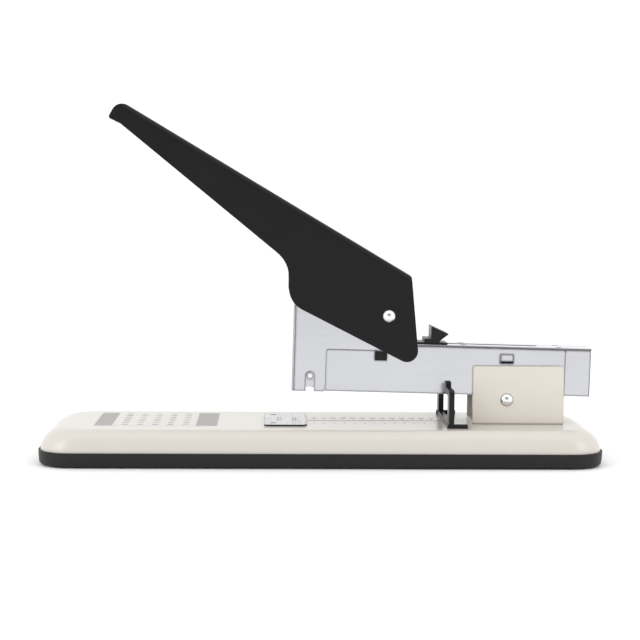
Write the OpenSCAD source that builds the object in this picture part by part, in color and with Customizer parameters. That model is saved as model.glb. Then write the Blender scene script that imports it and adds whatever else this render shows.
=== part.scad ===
// Long-handled desk stapler. The base stands on z = 0, its length runs along X with the
// pivot end at +X, and the origin is the centre of the base's underside.

/* [Base] */
// Length of the base
base_len = 276.4; // [240:1:340]
// Width of the base
base_w = 78.3; // [70:0.1:100]
// Height of the flat top above the bench
base_top = 18.3; // [17:0.1:24]
// Height of the black tray's rim
tray_h = 7.5; // [6:0.1:9]
// Radius of the base's corners in plan
corner_r = 17; // [14:0.5:22]
// Thickness of the tray's rim
rim_t = 1; // [0.8:0.1:1.6]
// Sheet thickness of the cover
cover_t = 1.2; // [0.8:0.1:1.6]
// Length over which the cover curves down at each end
end_fall = 13; // [10:0.5:20]
// Width over which the cover curves down at each side
side_fall = 7.2; // [5:0.1:9]
// Height of the rubber feet below the tray
foot_h = 0.6; // [0.4:0.1:1.2]
// Diameter of the rubber feet
foot_d = 12; // [9:0.5:14]
// Thickness of the steel stiffener under the cover
stiff_t = 2; // [1.5:0.1:3]
// Width of the stiffener
stiff_w = 34; // [30:1:36]

/* [Anvil] */
// Length of the anvil plate along the base
anvil_len = 21; // [18:0.5:24]
// Width of the anvil plate across the base
anvil_w = 41; // [34:0.5:48]
// Thickness of the anvil plate
anvil_t = 0.8; // [0.6:0.1:0.8]
// Depth of the clinch pockets
pocket_depth = 0.5; // [0.3:0.1:0.6]

/* [Bracket and head pivot] */
// Head pivot to the rear end of the base
pivot_inset = 45.7; // [43:0.1:60]
// Height of the head pivot above the base's top
pivot_rise = 12.3; // [12:0.1:20]
// Diameter of the pivot pins
pin_d = 4; // [3:0.1:4.4]
// Diameter of the pins' domed heads
pin_head_d = 6.5; // [6:0.1:8]
// Height of the pins' domed heads
pin_head_h = 1.6; // [1:0.1:2.4]
// Length of the bracket
bracket_len = 45.6; // [40:0.1:52]
// Bracket ahead of the pivot
bracket_front = 17.1; // [15:0.1:20]
// Height of the bracket's cheeks above the pivot
bracket_rise = 16.9; // [12:0.1:20]
// Sheet thickness of the bracket
bracket_t = 1.8; // [1.2:0.1:2.4]
// Radius of the bracket's two bends
bracket_bend = 1.2; // [0.4:0.1:2]

/* [Head] */
// Angle of the head at rest, front up
head_lift = 1.3; // [0.5:0.1:3]
// Pivot to the front face of the head
head_reach = 107.4; // [100:0.1:130]
// Pivot to the rear end of the head
head_tail = 41.8; // [38:0.1:52]
// Sheet thickness of the head channel, frame and front plate
sheet_t = 1; // [0.8:0.1:1.2]
// Underside of the head channel above the pivot
channel_floor = 2.4; // [2.4:0.1:4]
// Height of the low part of the head, without the top cover
head_h = 23; // [22:0.1:28]
// Height of the tall front part of the head
tower_h = 45; // [43:0.1:48]
// Length of the channel's nose ahead of the outer frame
nose_len = 16.5; // [14:0.1:22]
// Pivot to the rear edge of the outer frame
frame_tail = 29; // [26:0.1:34]
// Height of the windows in the frame
window_h = 4.6; // [3:0.1:6]
// Width of the stud slot at the front of the head
slot_w = 4.1; // [3:0.1:5]

/* [Magazine and pusher] */
// Width of a staple over its crown
staple_w = 13; // [11:0.1:16]
// Thickness of a staple's wire
staple_t = 1; // [0.7:0.1:1.2]
// Length of a staple's legs
staple_leg = 10.8; // [8:0.1:11]
// Length of the pusher block
pusher_len = 15; // [12:0.5:18]
// Travel of the pusher towards the rear
pusher_travel = 50; // [30:1:54]
// Diameter of the guide rod
rod_d = 3; // [2:0.1:3.4]
// Width of the knob on the pusher
knob_w = 14; // [10:0.5:16]
// Height of the knob above the top cover
knob_h = 9; // [7:0.1:12]

/* [Handle] */
// Press roller behind the driver blade at rest
roller_inset = 4.07; // [3.6:0.01:4.5]
// Handle pivot above the head pivot
lever_z = 40.1; // [40:0.1:44]
// Angle of the handle's top above the head at rest
handle_angle = 29.3; // [26:0.1:34]
// Handle pivot to the tip of the handle
handle_reach = 168.6; // [140:0.1:205]
// Handle pivot to the top face of the handle
handle_crown = 22.7; // [20:0.1:26]
// Gap between the handle's cheeks and the outer frame
handle_gap = 1.3; // [1.1:0.1:3]
// Sheet thickness of the handle
handle_t = 1.2; // [1:0.1:1.6]
// Radius of the bends along the handle's top
handle_bend = 3; // [2:0.1:4]
// Height of the handle's tip
tip_h = 9.1; // [7:0.1:12]
// Travel of the handle in degrees
handle_travel = 19; // [16:0.5:20]
// Handle pivot to the press roller
press_reach = 41.6; // [40:0.1:42.4]
// Diameter of the press roller
roller_d = 7; // [6:0.1:7.4]

/* [Driver] */
// Thickness of the driver blade
blade_t = 1; // [0.8:0.1:1.2]
// Length of the driver block along X
block_len = 8.3; // [7:0.1:9]
// Height of the driver block
block_h = 13.4; // [10:0.1:13.4]

/* [Paper guide] */
// Front face of the guide behind the blade at rest
guide_depth = 74.5; // [66:0.1:77]
// Width of the guide across the base
guide_w = 54.4; // [44:0.1:58]
// Length of the guide's runners
guide_len = 10; // [8:0.1:10.5]
// Thickness of the guide's bar and runners
guide_foot_t = 2; // [1.6:0.1:2.2]
// Thickness of the guide's posts
guide_t = 2.7; // [2:0.1:3.5]
// Width of each post
post_w = 7.2; // [5:0.1:9]
// Height of the posts above the base
post_h = 18.7; // [16:0.1:20]
// Travel of the guide towards the anvil
guide_travel = 62; // [40:1:63]
// Width of the slot in the base
guide_slot_w = 1.8; // [1.4:0.1:3]

/* [Hidden] */
// Clearances
fit = 0.05;      // running fit of a pin in its hole
slide = 0.1;     // between sliding faces
side_gap = 0.2;  // between cheeks that swing past each other

// Levels of the base
tray_floor_t = 2;
tray_floor = foot_h + tray_floor_t;
ledge_z = 4;
cover_under = base_top - cover_t;
stiff_under = cover_under - stiff_t;
boss_x = base_len / 2 - 30;
boss_y = 22;
boss_d = 8;
screw_d = 3;
foot_x = base_len / 2 - 16;
foot_y = base_w / 2 - 13;

// Widths across the head, as half widths from the staples outwards
rail_out = staple_w / 2 - staple_t - slide;
magazine_t = 0.8;
magazine_in = staple_w / 2 + slide;
magazine_out = magazine_in + magazine_t;
channel_in = magazine_out + slide;
channel_out = channel_in + sheet_t;
frame_out = channel_out + sheet_t;
bracket_in = frame_out + side_gap;
bracket_out = bracket_in + bracket_t;
handle_in = frame_out + handle_gap;
handle_w = 2 * (handle_in + handle_t);
lever_t = 1.5;
lever_out = channel_in - 1;
lever_in = lever_out - lever_t;

// Places along the head, from its pivot
pivot_x = base_len / 2 - pivot_inset;
pivot_z = base_top + pivot_rise;
frame_reach = head_reach - nose_len;
blade_front = -head_reach + sheet_t + slide;
blade_back = blade_front + blade_t;
block_back = blade_back + block_len;
magazine_front = blade_back + 2 * slide;
blade_x = pivot_x + (blade_front + blade_back) / 2;
swing = handle_travel / 2;
roller_x = blade_back + roller_inset;
lever_x = -roller_x - press_reach * cos(swing);
stud_x = -head_reach + 9;
tall_back = -lever_x + 13;
pusher_front = tall_back + 1.2;
pusher_back = pusher_front + pusher_len;
stem_front = pusher_front + 3;
stem_back = pusher_back - 4;
stop_t = 1.5;
shoe_t = 0.8;
window_x = [-lever_x - 6.3, -3.9];
window_w = [6, 6.7];

// Heights in the head, from its pivot
nose_z = channel_floor - 1;
frame_floor = channel_floor - 0.5;
deck_z = channel_floor + head_h;
cover_z = deck_z + sheet_t;
magazine_z = channel_floor + sheet_t + slide;
leg_z = magazine_z + magazine_t + slide;
crown_z = leg_z + staple_leg;
rail_top = crown_z - staple_t - slide;
stud_z = channel_floor + 6.7;
rod_z = crown_z + 4.8;
window_z = channel_floor + 15.5;

// The press roller swings evenly above and below the level of the handle pivot
roller_z = lever_z + press_reach * sin(swing);
driver_stroke = 2 * press_reach * sin(swing);
block_top = roller_z - roller_d / 2 - slide;
blade_bottom = nose_z + 0.2 + driver_stroke;
ear_w = 5.6;
anchor_at = [-10, -10];
anchor_d = 2.5;
driver_spring_x = block_back + 2.8;
ledge_top = crown_z + 1.8;

// Paper guide
guide_x = blade_x + guide_depth;
guide_z = base_top + fit;
post_x = guide_x + 0.6;
runner_w = 2.6;
guide_key_len = guide_t;
guide_key_x = post_x;
guide_slot_front = guide_key_x - guide_travel - 6.6;
guide_arm_z = base_top + 15.4;
guide_hook_z = guide_arm_z + 6;
guide_arm_in = frame_out + 0.6;

$fn = 48;

// ---- helpers ----

function unit(v) = v / norm(v);
function turned(v, a) = [v.x * cos(a) - v.y * sin(a), v.x * sin(a) + v.y * cos(a)];

// Points of the arc of radius r that rounds the corner b between a and c
function arc(a, b, c, r) =
    let (u = unit(a - b), w = unit(c - b), half = acos(u * w) / 2,
         centre = b + unit(u + w) * r / sin(half),
         start = b + u * r / tan(half) - centre,
         sweep = (u.x * w.y - u.y * w.x > 0 ? -1 : 1) * (180 - 2 * half),
         steps = ceil(abs(sweep) / 6))
    [for (i = [0:steps]) centre + turned(start, sweep * i / steps)];

// Outline through corners [x, y, radius], with each radius rounded by an arc
function rounded(corners) =
    let (n = len(corners), at = [for (c = corners) [c.x, c.y]])
    [for (i = [0:n - 1])
        each corners[i].z > 0 ? arc(at[(i + n - 1) % n], at[i], at[(i + 1) % n], corners[i].z)
                              : [at[i]]];

// Extrudes a drawing in the X-Z plane by a width centred on Y
module side_on(width) rotate([90, 0, 0]) linear_extrude(width, center = true) children();

// Extrudes a drawing in the Y-Z plane along X
module end_on(x0, x1) translate([x0, 0, 0]) rotate([90, 0, 90]) linear_extrude(x1 - x0) children();

// The same sheet on both sides, between two half widths
module cheeks(inner, outer)
    for (s = [-1, 1]) translate([0, s * (inner + outer) / 2, 0]) side_on(outer - inner) children();

// A box between two corners
module block(low, high) translate(low) cube(high - low);

// A round bar along Y through the point [x, z]
module cross_bar(x, z, d, length) translate([x, 0, z]) rotate([90, 0, 0])
    cylinder(h = length, d = d, center = true);

// A ring on the Y axis on each side, between two half widths
module side_rings(d, bore, inner, outer)
    for (s = [-1, 1]) translate([0, s * (inner + outer) / 2, 0])
        difference() {
            cross_bar(0, 0, d, outer - inner);
            cross_bar(0, 0, bore, outer);
        }

// A pin along Y with a domed head on each end
module domed_pin(d, length) {
    dome_r = (pow(pin_head_d / 2, 2) + pow(pin_head_h, 2)) / (2 * pin_head_h);
    cross_bar(0, 0, d, length + 0.02);
    for (s = [0, 180]) rotate([0, 0, s]) translate([0, length / 2, 0]) rotate([-90, 0, 0])
        intersection() {
            translate([0, 0, pin_head_h - dome_r]) sphere(r = dome_r);
            cylinder(h = pin_head_h + 1, d = pin_head_d);
        }
}

// A round wire of diameter d through the points, which lie around the given axis
module wire(points, d, axis, sides = 6) {
    n = len(points);
    function along(i) = unit(points[min(i + 1, n - 1)] - points[max(i - 1, 0)]);
    rings = [for (i = [0:n - 1]) let (t = along(i), u = unit(cross(t, axis)), w = cross(u, t))
        for (k = [0:sides - 1]) let (a = 360 * k / sides)
            points[i] + (u * cos(a) + w * sin(a)) * d / 2];
    walls = [for (i = [0:n - 2], k = [0:sides - 1])
        let (a = i * sides + k, b = i * sides + (k + 1) % sides)
        each [[a, a + sides, b + sides], [a, b + sides, b]]];
    ends = [[for (k = [0:sides - 1]) k], [for (k = [sides - 1:-1:0]) (n - 1) * sides + k]];
    polyhedron(rings, concat(walls, ends));
}

// Points of a coil about Z, with a nearly flat turn at each end
function coil(r, length, d, turns, per_turn = 12) =
    [for (i = [0:turns * per_turn])
        let (a = i / per_turn,
             share = a < 1 ? 0 : a > turns - 1 ? 1 : (a - 1) / (turns - 2),
             wind = d * 1.05 * (min(a, 1) + max(a - turns + 1, 0)))
        [r * cos(360 * a), r * sin(360 * a),
         d / 2 + wind + share * (length - d * 3.1)]];

// Into the head's own frame, tilted about its pivot
module in_head() translate([pivot_x, 0, pivot_z]) rotate([0, head_lift, 0]) children();

// Into the frame of the handle pivot, level with the head
module at_lever() in_head() translate([-lever_x, 0, lever_z]) children();

// A point given along and above the handle's top line, seen from the handle pivot
function on_handle(x, z) = [x * cos(handle_angle) + z * sin(handle_angle),
                            z * cos(handle_angle) - x * sin(handle_angle)];

// ---- base ----

// The base seen from above, shrunk by an inset at its ends and another at its sides
function plan(inset_x, inset_y, r) =
    let (x = base_len / 2 - inset_x, y = base_w / 2 - inset_y)
    rounded([[-x, -y, r], [x, -y, r], [x, y, r], [-x, y, r]]);

// A solid skinned over layers [height, inset at the ends, inset at the sides, corner radius]
module skin(layers) {
    rings = [for (l = layers) [for (p = plan(l[1], l[2], l[3])) [p.x, p.y, l[0]]]];
    n = len(rings[0]);
    top = len(rings) - 1;
    walls = [for (i = [0:top - 1], k = [0:n - 1]) let (a = i * n + k, b = i * n + (k + 1) % n)
        each [[a, a + n, b + n], [a, b + n, b]]];
    ends = [[for (k = [0:n - 1]) k], [for (k = [n - 1:-1:0]) top * n + k]];
    polyhedron([for (ring = rings) each ring], concat(walls, ends));
}

// The cover's outer form, shrunk by an inset on every side
module cover_form(inset, bottom) {
    edge = rim_t + slide + inset;
    r = corner_r - edge;
    rise = base_top - inset - tray_h;
    shoulder = [for (a = [0:10:90]) let (lean = 1 - cos(a))
        [tray_h + rise * sin(a), edge + (end_fall - rim_t) * lean,
         edge + (side_fall - rim_t) * lean, r - 3 * lean]];
    skin(concat([[bottom, edge, edge, r]], shoulder));
}

module at_bosses() for (x = [-boss_x, boss_x], y = [-boss_y, boss_y]) translate([x, y, 0]) children();
module at_feet() for (x = [-foot_x, foot_x], y = [-foot_y, foot_y]) translate([x, y, 0]) children();

module base_tray() color("#262626") difference() {
    skin([[foot_h, 1.6, 1.6, corner_r - 1.6], [foot_h + 0.8, 0.5, 0.5, corner_r - 0.5],
          [tray_h * 0.5, 0.15, 0.15, corner_r], [tray_h, 0, 0, corner_r]]);
    translate([0, 0, ledge_z]) linear_extrude(tray_h) polygon(plan(rim_t, rim_t, corner_r - rim_t));
    translate([0, 0, tray_floor]) linear_extrude(tray_h) polygon(plan(4, 4, corner_r - 4));
    at_bosses() {
        cylinder(h = tray_h, d = screw_d + 2 * slide);
        cylinder(h = foot_h + 1.2, d = 2 * screw_d + 2 * slide);
    }
    at_feet() cylinder(h = foot_h + 1, d = foot_d);
}

module rubber_feet() color("#1c1c1c") at_feet() cylinder(h = foot_h + 1, d = foot_d);

module tray_screws() color("silver") at_bosses() {
    translate([0, 0, foot_h + 0.2]) cylinder(h = 1, d = 2 * screw_d);
    translate([0, 0, foot_h + 1]) cylinder(h = 11, d = screw_d);
}

// Cuts the guide's slot through a sheet between two heights
module guide_slot(width, z0, z1) block([guide_slot_front, -width / 2, z0],
    [guide_key_x + guide_key_len + 0.5, width / 2, z1]);

module anvil_holes(d) for (y = [-1, 1])
    translate([blade_x - 10.5, y * anvil_w * 0.36, 0]) cylinder(h = base_top + 5, d = d);

module bracket_holes(d) for (x = [-4, 20], y = [-5, 5])
    translate([pivot_x + x, y, 0]) cylinder(h = base_top + 5, d = d);

module base_cover() color("#e5e2da") difference() {
    union() {
        difference() {
            cover_form(0, ledge_z + slide);
            cover_form(cover_t, 0);
        }
        at_bosses() translate([0, 0, tray_floor + slide])
            cylinder(h = cover_under - tray_floor + 0.2, d = boss_d);
    }
    at_bosses() cylinder(h = cover_under - 1, d = screw_d + 2 * fit);
    guide_slot(guide_slot_w, 0, base_top + 1);
    anvil_holes(3);
    bracket_holes(4);
}

module base_stiffener() color("#9a9c9f") difference() {
    block([blade_x - 20, -stiff_w / 2, stiff_under],
          [pivot_x + bracket_len - bracket_front, stiff_w / 2, cover_under]);
    guide_slot(guide_slot_w + 1, 0, base_top);
    anvil_holes(3);
    bracket_holes(4);
}

// ---- anvil ----

module anvil_plate() color("#d0d2d6") difference() {
    translate([blade_x - 15, 0, base_top]) linear_extrude(anvil_t) polygon(rounded([
        [0, -anvil_w / 2, 1.5], [anvil_len - 1.5, -anvil_w / 2, 0.8], [anvil_len, -anvil_w / 2 + 2, 0.8],
        [anvil_len, anvil_w / 2, 1.5], [0, anvil_w / 2, 1.5]]));
    for (s = [-1, 1], row = [0, -7.5]) translate([blade_x + row, s * staple_w * 0.27, base_top + anvil_t])
        intersection() {
            translate([0, 0, 8 - pocket_depth]) rotate([0, 90, 0])
                cylinder(h = 1.8, r = 8, center = true);
            cube([2, staple_w * 0.42, 4], center = true);
        }
    anvil_holes(3);
}

module anvil_rivets() color("#b9bcc2") intersection() {
    anvil_holes(3 - 2 * fit);
    block([blade_x - 40, -base_w, stiff_under - 0.6], [blade_x, base_w, base_top + anvil_t - 0.1]);
}

// ---- bracket and its pin ----

module pivot_bracket() color("#dfdbcf") difference() {
    x0 = pivot_x - bracket_front;
    x1 = x0 + bracket_len;
    stop_z = pivot_z + frame_floor - (x1 - pivot_x) * sin(head_lift) - side_gap;
    top = pivot_z + bracket_rise;
    union() {
        intersection() {
            side_on(2 * bracket_out) polygon(rounded([
                [x0, base_top, 0], [x1, base_top, 0], [x1, top, 1.6], [x0, top, 1.6]]));
            end_on(x0, x1) polygon(rounded([
                [-bracket_out, base_top, bracket_bend], [bracket_out, base_top, bracket_bend],
                [bracket_out, top, 0], [bracket_in, top, 0], [bracket_in, base_top + bracket_t, 0],
                [-bracket_in, base_top + bracket_t, 0], [-bracket_in, top, 0],
                [-bracket_out, top, 0]]));
        }
        block([x1 - bracket_t, -bracket_in - 0.01, base_top], [x1, bracket_in + 0.01, stop_z]);
    }
    cross_bar(pivot_x, pivot_z, pin_d, 4 * bracket_out);
    bracket_holes(4);
}

module bracket_screws() color("#b9bcc2") intersection() {
    union() {
        bracket_holes(4 - 2 * fit);
        translate([0, 0, base_top + bracket_t]) bracket_holes(7);
        translate([0, 0, stiff_under - 2.4 - base_top - 5]) bracket_holes(7);
    }
    block([pivot_x - 20, -base_w, stiff_under - 2.4], [pivot_x + 40, base_w, base_top + bracket_t + 1.6]);
}

module head_pivot_pin() color("silver") translate([pivot_x, 0, pivot_z])
    domed_pin(pin_d, 2 * bracket_out);

module lift_spring() color("#8f9296") {
    x = -11.4;
    seat = base_top + bracket_t + fit;
    under = pivot_z + channel_floor - x * sin(head_lift) - 0.15;
    translate([pivot_x + x, 0, seat]) wire(coil(2.8, under - seat, 0.8, 7), 0.8, [0, 0, 1]);
}

// ---- head ----

module window(i, depth) block([window_x[i], -depth, window_z], [window_x[i] + window_w[i], depth,
    window_z + window_h]);

module pusher_slot(z0, z1) block([stem_front - 0.5, -1.5 - 0.5, z0],
    [stem_back + pusher_travel + 0.5, 1.5 + 0.5, z1]);

module rivet_holes(d, z0, z1) for (x = [-22, 26], y = [-5.5, 5.5])
    translate([x, y, z0]) cylinder(h = z1 - z0, d = d);

module outer_frame() color("#d3d5da") in_head() difference() {
    union() {
        cheeks(channel_out, frame_out) polygon(rounded([
            [-frame_reach, frame_floor, 0], [-8, frame_floor, 0], [-8, -4.6, 3], [8, -4.6, 3],
            [8, frame_floor, 0], [frame_tail, frame_floor, 0], [frame_tail, deck_z, 1.2],
            [tall_back, deck_z, 0], [tall_back - 2, deck_z - 2.6, 0],
            [-frame_reach, deck_z - 2.6, 1.5]]));
        block([tall_back + 1, -channel_out - 0.01, deck_z - sheet_t],
              [frame_tail - 1.2, channel_out + 0.01, deck_z]);
    }
    cross_bar(0, 0, pin_d + 2 * fit, 4 * frame_out);
    for (i = [0, 1]) window(i, frame_out + 1);
    pusher_slot(0, deck_z + 1);
    rivet_holes(2.8, deck_z - 2, deck_z + 1);
}

module channel_side() polygon(rounded([
    [-head_reach + sheet_t, nose_z, 0], [-frame_reach - 0.3, nose_z, 0],
    [-frame_reach - 0.3, channel_floor, 0], [head_tail, channel_floor, 0],
    [head_tail, deck_z, 0.8], [frame_tail + 0.2, deck_z, 0],
    [frame_tail + 0.2, deck_z - sheet_t, 0], [tall_back, deck_z - sheet_t, 3],
    [tall_back - 4, nose_z + tower_h, 5], [-head_reach + sheet_t, nose_z + tower_h, 0]]));

module head_channel() color("#cfd1d6") in_head() difference() {
    union() {
        cheeks(channel_in, channel_out) channel_side();
        block([-frame_reach, -channel_in - 0.01, channel_floor],
              [head_tail, channel_in + 0.01, channel_floor + sheet_t]);
        block([block_back + 0.2, -channel_in - 0.01, ledge_top - sheet_t],
              [driver_spring_x + 3, channel_in + 0.01, ledge_top]);
        for (s = [0, 1]) mirror([0, s, 0])
            block([window_x[1] + 0.5, channel_out - 0.01, window_z + 1.1],
                  [window_x[1] + window_w[1] - 0.1, channel_out + 0.6, window_z + window_h - 0.1]);
    }
    window(0, frame_out + 1);
    block([window_x[1] + 0.5, -frame_out, window_z + 0.1],
          [window_x[1] + window_w[1] - 0.1, frame_out, window_z + 1]);
    cross_bar(stud_x, stud_z, slot_w, 4 * channel_out);
    block([stud_x - slot_w / 2, -2 * channel_out, -2], [stud_x + slot_w / 2, 2 * channel_out, stud_z]);
    cross_bar(-lever_x, lever_z, pin_d + 2 * fit, 4 * channel_out);
    cross_bar(-lever_x + anchor_at.x, lever_z + anchor_at.y, anchor_d, 4 * channel_out);
}

module front_plate() color("#cfd1d6") in_head() end_on(-head_reach, -head_reach + sheet_t)
    polygon(rounded([
        [-channel_out, nose_z, 0], [channel_out, nose_z, 0], [channel_out, nose_z + tower_h, 2],
        [-channel_out, nose_z + tower_h, 2]]));

// The cover has a shallow groove under each edge
module top_cover() color("#d7d9de") in_head() difference() {
    groove = 0.5;
    end_on(tall_back + 1, head_tail) polygon(rounded([
        [-frame_out + groove, deck_z, 0], [frame_out - groove, deck_z, 0],
        [frame_out - groove, deck_z + groove, 0], [frame_out, deck_z + groove, 0],
        [frame_out, cover_z, 0.5], [-frame_out, cover_z, 0.5],
        [-frame_out, deck_z + groove, 0], [-frame_out + groove, deck_z + groove, 0]]));
    pusher_slot(deck_z - 1, cover_z + 1);
    rivet_holes(2.8, deck_z - 1, cover_z + 1);
}

module cover_rivets() color("#8f9296") in_head()
    rivet_holes(2.8 - 2 * fit, deck_z - sheet_t, cover_z - 0.2);

module magazine() color("#b4b7bc") in_head() difference() {
    end_on(magazine_front, head_tail - stop_t - slide) polygon([
        [-magazine_out, magazine_z], [magazine_out, magazine_z], [magazine_out, crown_z],
        [magazine_in, crown_z], [magazine_in, magazine_z + magazine_t],
        [-magazine_in, magazine_z + magazine_t], [-magazine_in, crown_z], [-magazine_out, crown_z]]);
    cross_bar(stud_x, stud_z, 2, 4 * channel_out);
}

module magazine_studs() color("silver") in_head() for (s = [-1, 1]) {
    translate([stud_x, s * (magazine_out + channel_out) / 2, stud_z]) rotate([90, 0, 0])
        cylinder(h = channel_out - magazine_out, d = slot_w - 2 * slide, center = true);
    translate([stud_x, s * (magazine_in + magazine_out) / 2, stud_z]) rotate([90, 0, 0])
        cylinder(h = magazine_t, d = 2 - 2 * fit, center = true);
}

module staple_rail() color("#a7aaaf") in_head() end_on(magazine_front, head_tail - stop_t - slide)
    polygon([
        [-rail_out, magazine_z + magazine_t], [-rail_out, rail_top], [rail_out, rail_top],
        [rail_out, magazine_z + magazine_t], [rail_out - 1, magazine_z + magazine_t],
        [rail_out - 1, rail_top - 1], [-rail_out + 1, rail_top - 1],
        [-rail_out + 1, magazine_z + magazine_t]]);

// The section of a staple, which the pusher's skirt shares
module staple_section() polygon([
    [-staple_w / 2, leg_z], [-staple_w / 2, crown_z], [staple_w / 2, crown_z],
    [staple_w / 2, leg_z], [staple_w / 2 - staple_t, leg_z],
    [staple_w / 2 - staple_t, crown_z - staple_t], [-staple_w / 2 + staple_t, crown_z - staple_t],
    [-staple_w / 2 + staple_t, leg_z]]);

module staple_strip() color("#c4c7cb") in_head()
    end_on(magazine_front, pusher_front - fit) staple_section();

// The rod along the head, from inside its holder into the rear stop
module rod_bar(d, x0) translate([x0, 0, rod_z]) rotate([0, 90, 0])
    cylinder(h = head_tail - stop_t / 2 - x0, d = d);

module guide_rod() color("#9a9c9f") in_head() rod_bar(rod_d, window_x[0] + 2);

// A block between the cheeks that holds the rod's front end and fills the channel's front windows
module rod_holder() color("#1c1c1c") in_head() difference() {
    union() {
        block([window_x[0] - 1.5, -channel_in + fit, window_z - 0.8],
              [window_x[0] + window_w[0] + 1.5, channel_in - fit, window_z + window_h + 0.8]);
        block([window_x[0] + fit, -channel_out + slide, window_z + fit],
              [window_x[0] + window_w[0] - fit, channel_out - slide, window_z + window_h - fit]);
    }
    rod_bar(rod_d, window_x[0] + 2);
}

module rear_stop() color("#cfd1d6") in_head() difference() {
    block([head_tail - stop_t, -channel_in, channel_floor + sheet_t], [head_tail, channel_in, deck_z]);
    translate([head_tail - 2 * stop_t, 0, rod_z]) rotate([0, 90, 0])
        cylinder(h = 1.5 * stop_t, d = rod_d);
}

module pusher_spring() color("#8f9296") in_head()
    translate([pusher_back + fit, 0, rod_z]) rotate([0, 90, 0])
        wire(coil(rod_d / 2 + 1.5, head_tail - stop_t - pusher_back - 2 * fit, 0.7, 18),
             0.7, [0, 0, 1]);

module driver_spring() color("#8f9296") in_head()
    translate([driver_spring_x, 0, ledge_top + fit])
        wire(coil(1.9, block_top - 4 - ledge_top - 2 * fit, 0.5, 10), 0.5, [0, 0, 1]);

// ---- pusher ----

module pusher_block() color("#3a3a3c") in_head() difference() {
    union() {
        end_on(pusher_front, pusher_back) staple_section();
        block([pusher_front, -staple_w / 2, crown_z - 0.01],
              [pusher_back, staple_w / 2, deck_z - sheet_t - slide]);
        block([stem_front, -1.5, deck_z - sheet_t - 0.2], [stem_back, 1.5, cover_z + slide]);
    }
    translate([pusher_front - 1, 0, rod_z]) rotate([0, 90, 0])
        cylinder(h = pusher_len + 2, d = rod_d + 2 * slide);
}

// A thin shoe with a step and an arrow that points to the rear
module pusher_knob() color("#2b2b2b") in_head() translate([pusher_front, 0, cover_z + slide])
    side_on(knob_w) polygon([
        [-1.5, 0], [pusher_len + 1, 0], [pusher_len + 1, shoe_t], [pusher_len - 3, shoe_t],
        [pusher_len - 3, 2 * shoe_t], [pusher_len + 1.4, knob_h * 0.57], [pusher_len / 2, knob_h],
        [pusher_len / 2, knob_h * 0.3], [pusher_len / 2 - 3.2, knob_h * 0.3],
        [pusher_len / 2 - 3.2, shoe_t], [-1.5, shoe_t]]);

// ---- handle ----

// Corners of the handle seen from the side, along and above its top line
tip_r = 5.5;
handle_corners = [
    [-0.6, handle_crown, 2], [-handle_reach, handle_crown, tip_r],
    [-handle_reach + 0.3, handle_crown - tip_h - 1.2, 1.4],
    [-handle_reach + 6.4, handle_crown - tip_h - 0.4, 4], [-56.1, -2.7, 16], [-46.1, -19.8, 12],
    [26.9, -15.1, 5.5]];

// A bar along the handle's top line with its top edges rounded
module bent_bar(width, crown, r) end_on(-handle_reach - 5, 40) polygon(rounded([
    [-width / 2, -60, 0], [width / 2, -60, 0], [width / 2, crown, r], [-width / 2, crown, r]]));

module handle_shell() color("#242424") at_lever() difference() {
    rotate([0, handle_angle, 0]) difference() {
        intersection() {
            side_on(handle_w + 1) polygon(rounded(handle_corners));
            bent_bar(handle_w, handle_crown, handle_bend);
        }
        intersection() {
            side_on(handle_w) polygon(rounded([
                [40, handle_crown - handle_t, 0],
                [-handle_reach + handle_t, handle_crown - handle_t, tip_r - handle_t],
                [-handle_reach + handle_t, -60, 0], [40, -60, 0]]));
            bent_bar(2 * handle_in, handle_crown - handle_t, handle_bend - handle_t);
        }
    }
    cross_bar(0, 0, pin_d, 2 * handle_w);
}

module press_lever() color("#8a8d92") at_lever() {
    web = handle_crown - handle_t;
    reach = roller_x + lever_x;
    rise = roller_z - lever_z;
    corners = [on_handle(-3, web), on_handle(-42, web), [reach + 2, rise + 10], [reach - 3, rise + 3],
               [reach - 3, rise - 3], [reach + 7, rise - 2.6], [-26, 0], [0, -7], [7, -7]];
    radii = [0, 0, 3, 3, 3, 3, 8, 5, 5];
    outline = rounded([for (i = [0:len(corners) - 1]) [corners[i].x, corners[i].y, radii[i]]]);
    difference() {
        union() {
            cheeks(lever_in, lever_out) polygon(outline);
            intersection() {
                side_on(2 * lever_in + 0.02) polygon(outline);
                rotate([0, handle_angle, 0])
                    block([-50, -lever_out, web - lever_t], [10, lever_out, web]);
            }
        }
        cross_bar(0, 0, pin_d, 4 * lever_out);
        cross_bar(reach, rise, 3, 4 * lever_out);
    }
}

module at_roller() in_head() translate([roller_x, 0, roller_z]) children();

module press_axle() color("silver") at_roller() cross_bar(0, 0, 3, 2 * lever_out);

module press_roller() color("#b9bcc2") at_roller() difference() {
    cross_bar(0, 0, roller_d, 2 * lever_in - 2 * side_gap);
    cross_bar(0, 0, 3 + 2 * fit, 4 * lever_in);
}

module handle_pivot_pin() color("silver") at_lever() domed_pin(pin_d, handle_w);

module pivot_bushes() color("#c8a24a") at_lever()
    side_rings(pin_d + 4, pin_d + 2 * fit, lever_out + fit, channel_in - fit);

module pivot_washers() color("#b9bcc2") at_lever()
    side_rings(pin_d + 5, pin_d + 2 * fit, channel_out + side_gap, handle_in - fit);

module spring_anchor() color("#b9bcc2") at_lever()
    cross_bar(anchor_at.x, anchor_at.y, anchor_d - 2 * fit, 2 * channel_out);

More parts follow.
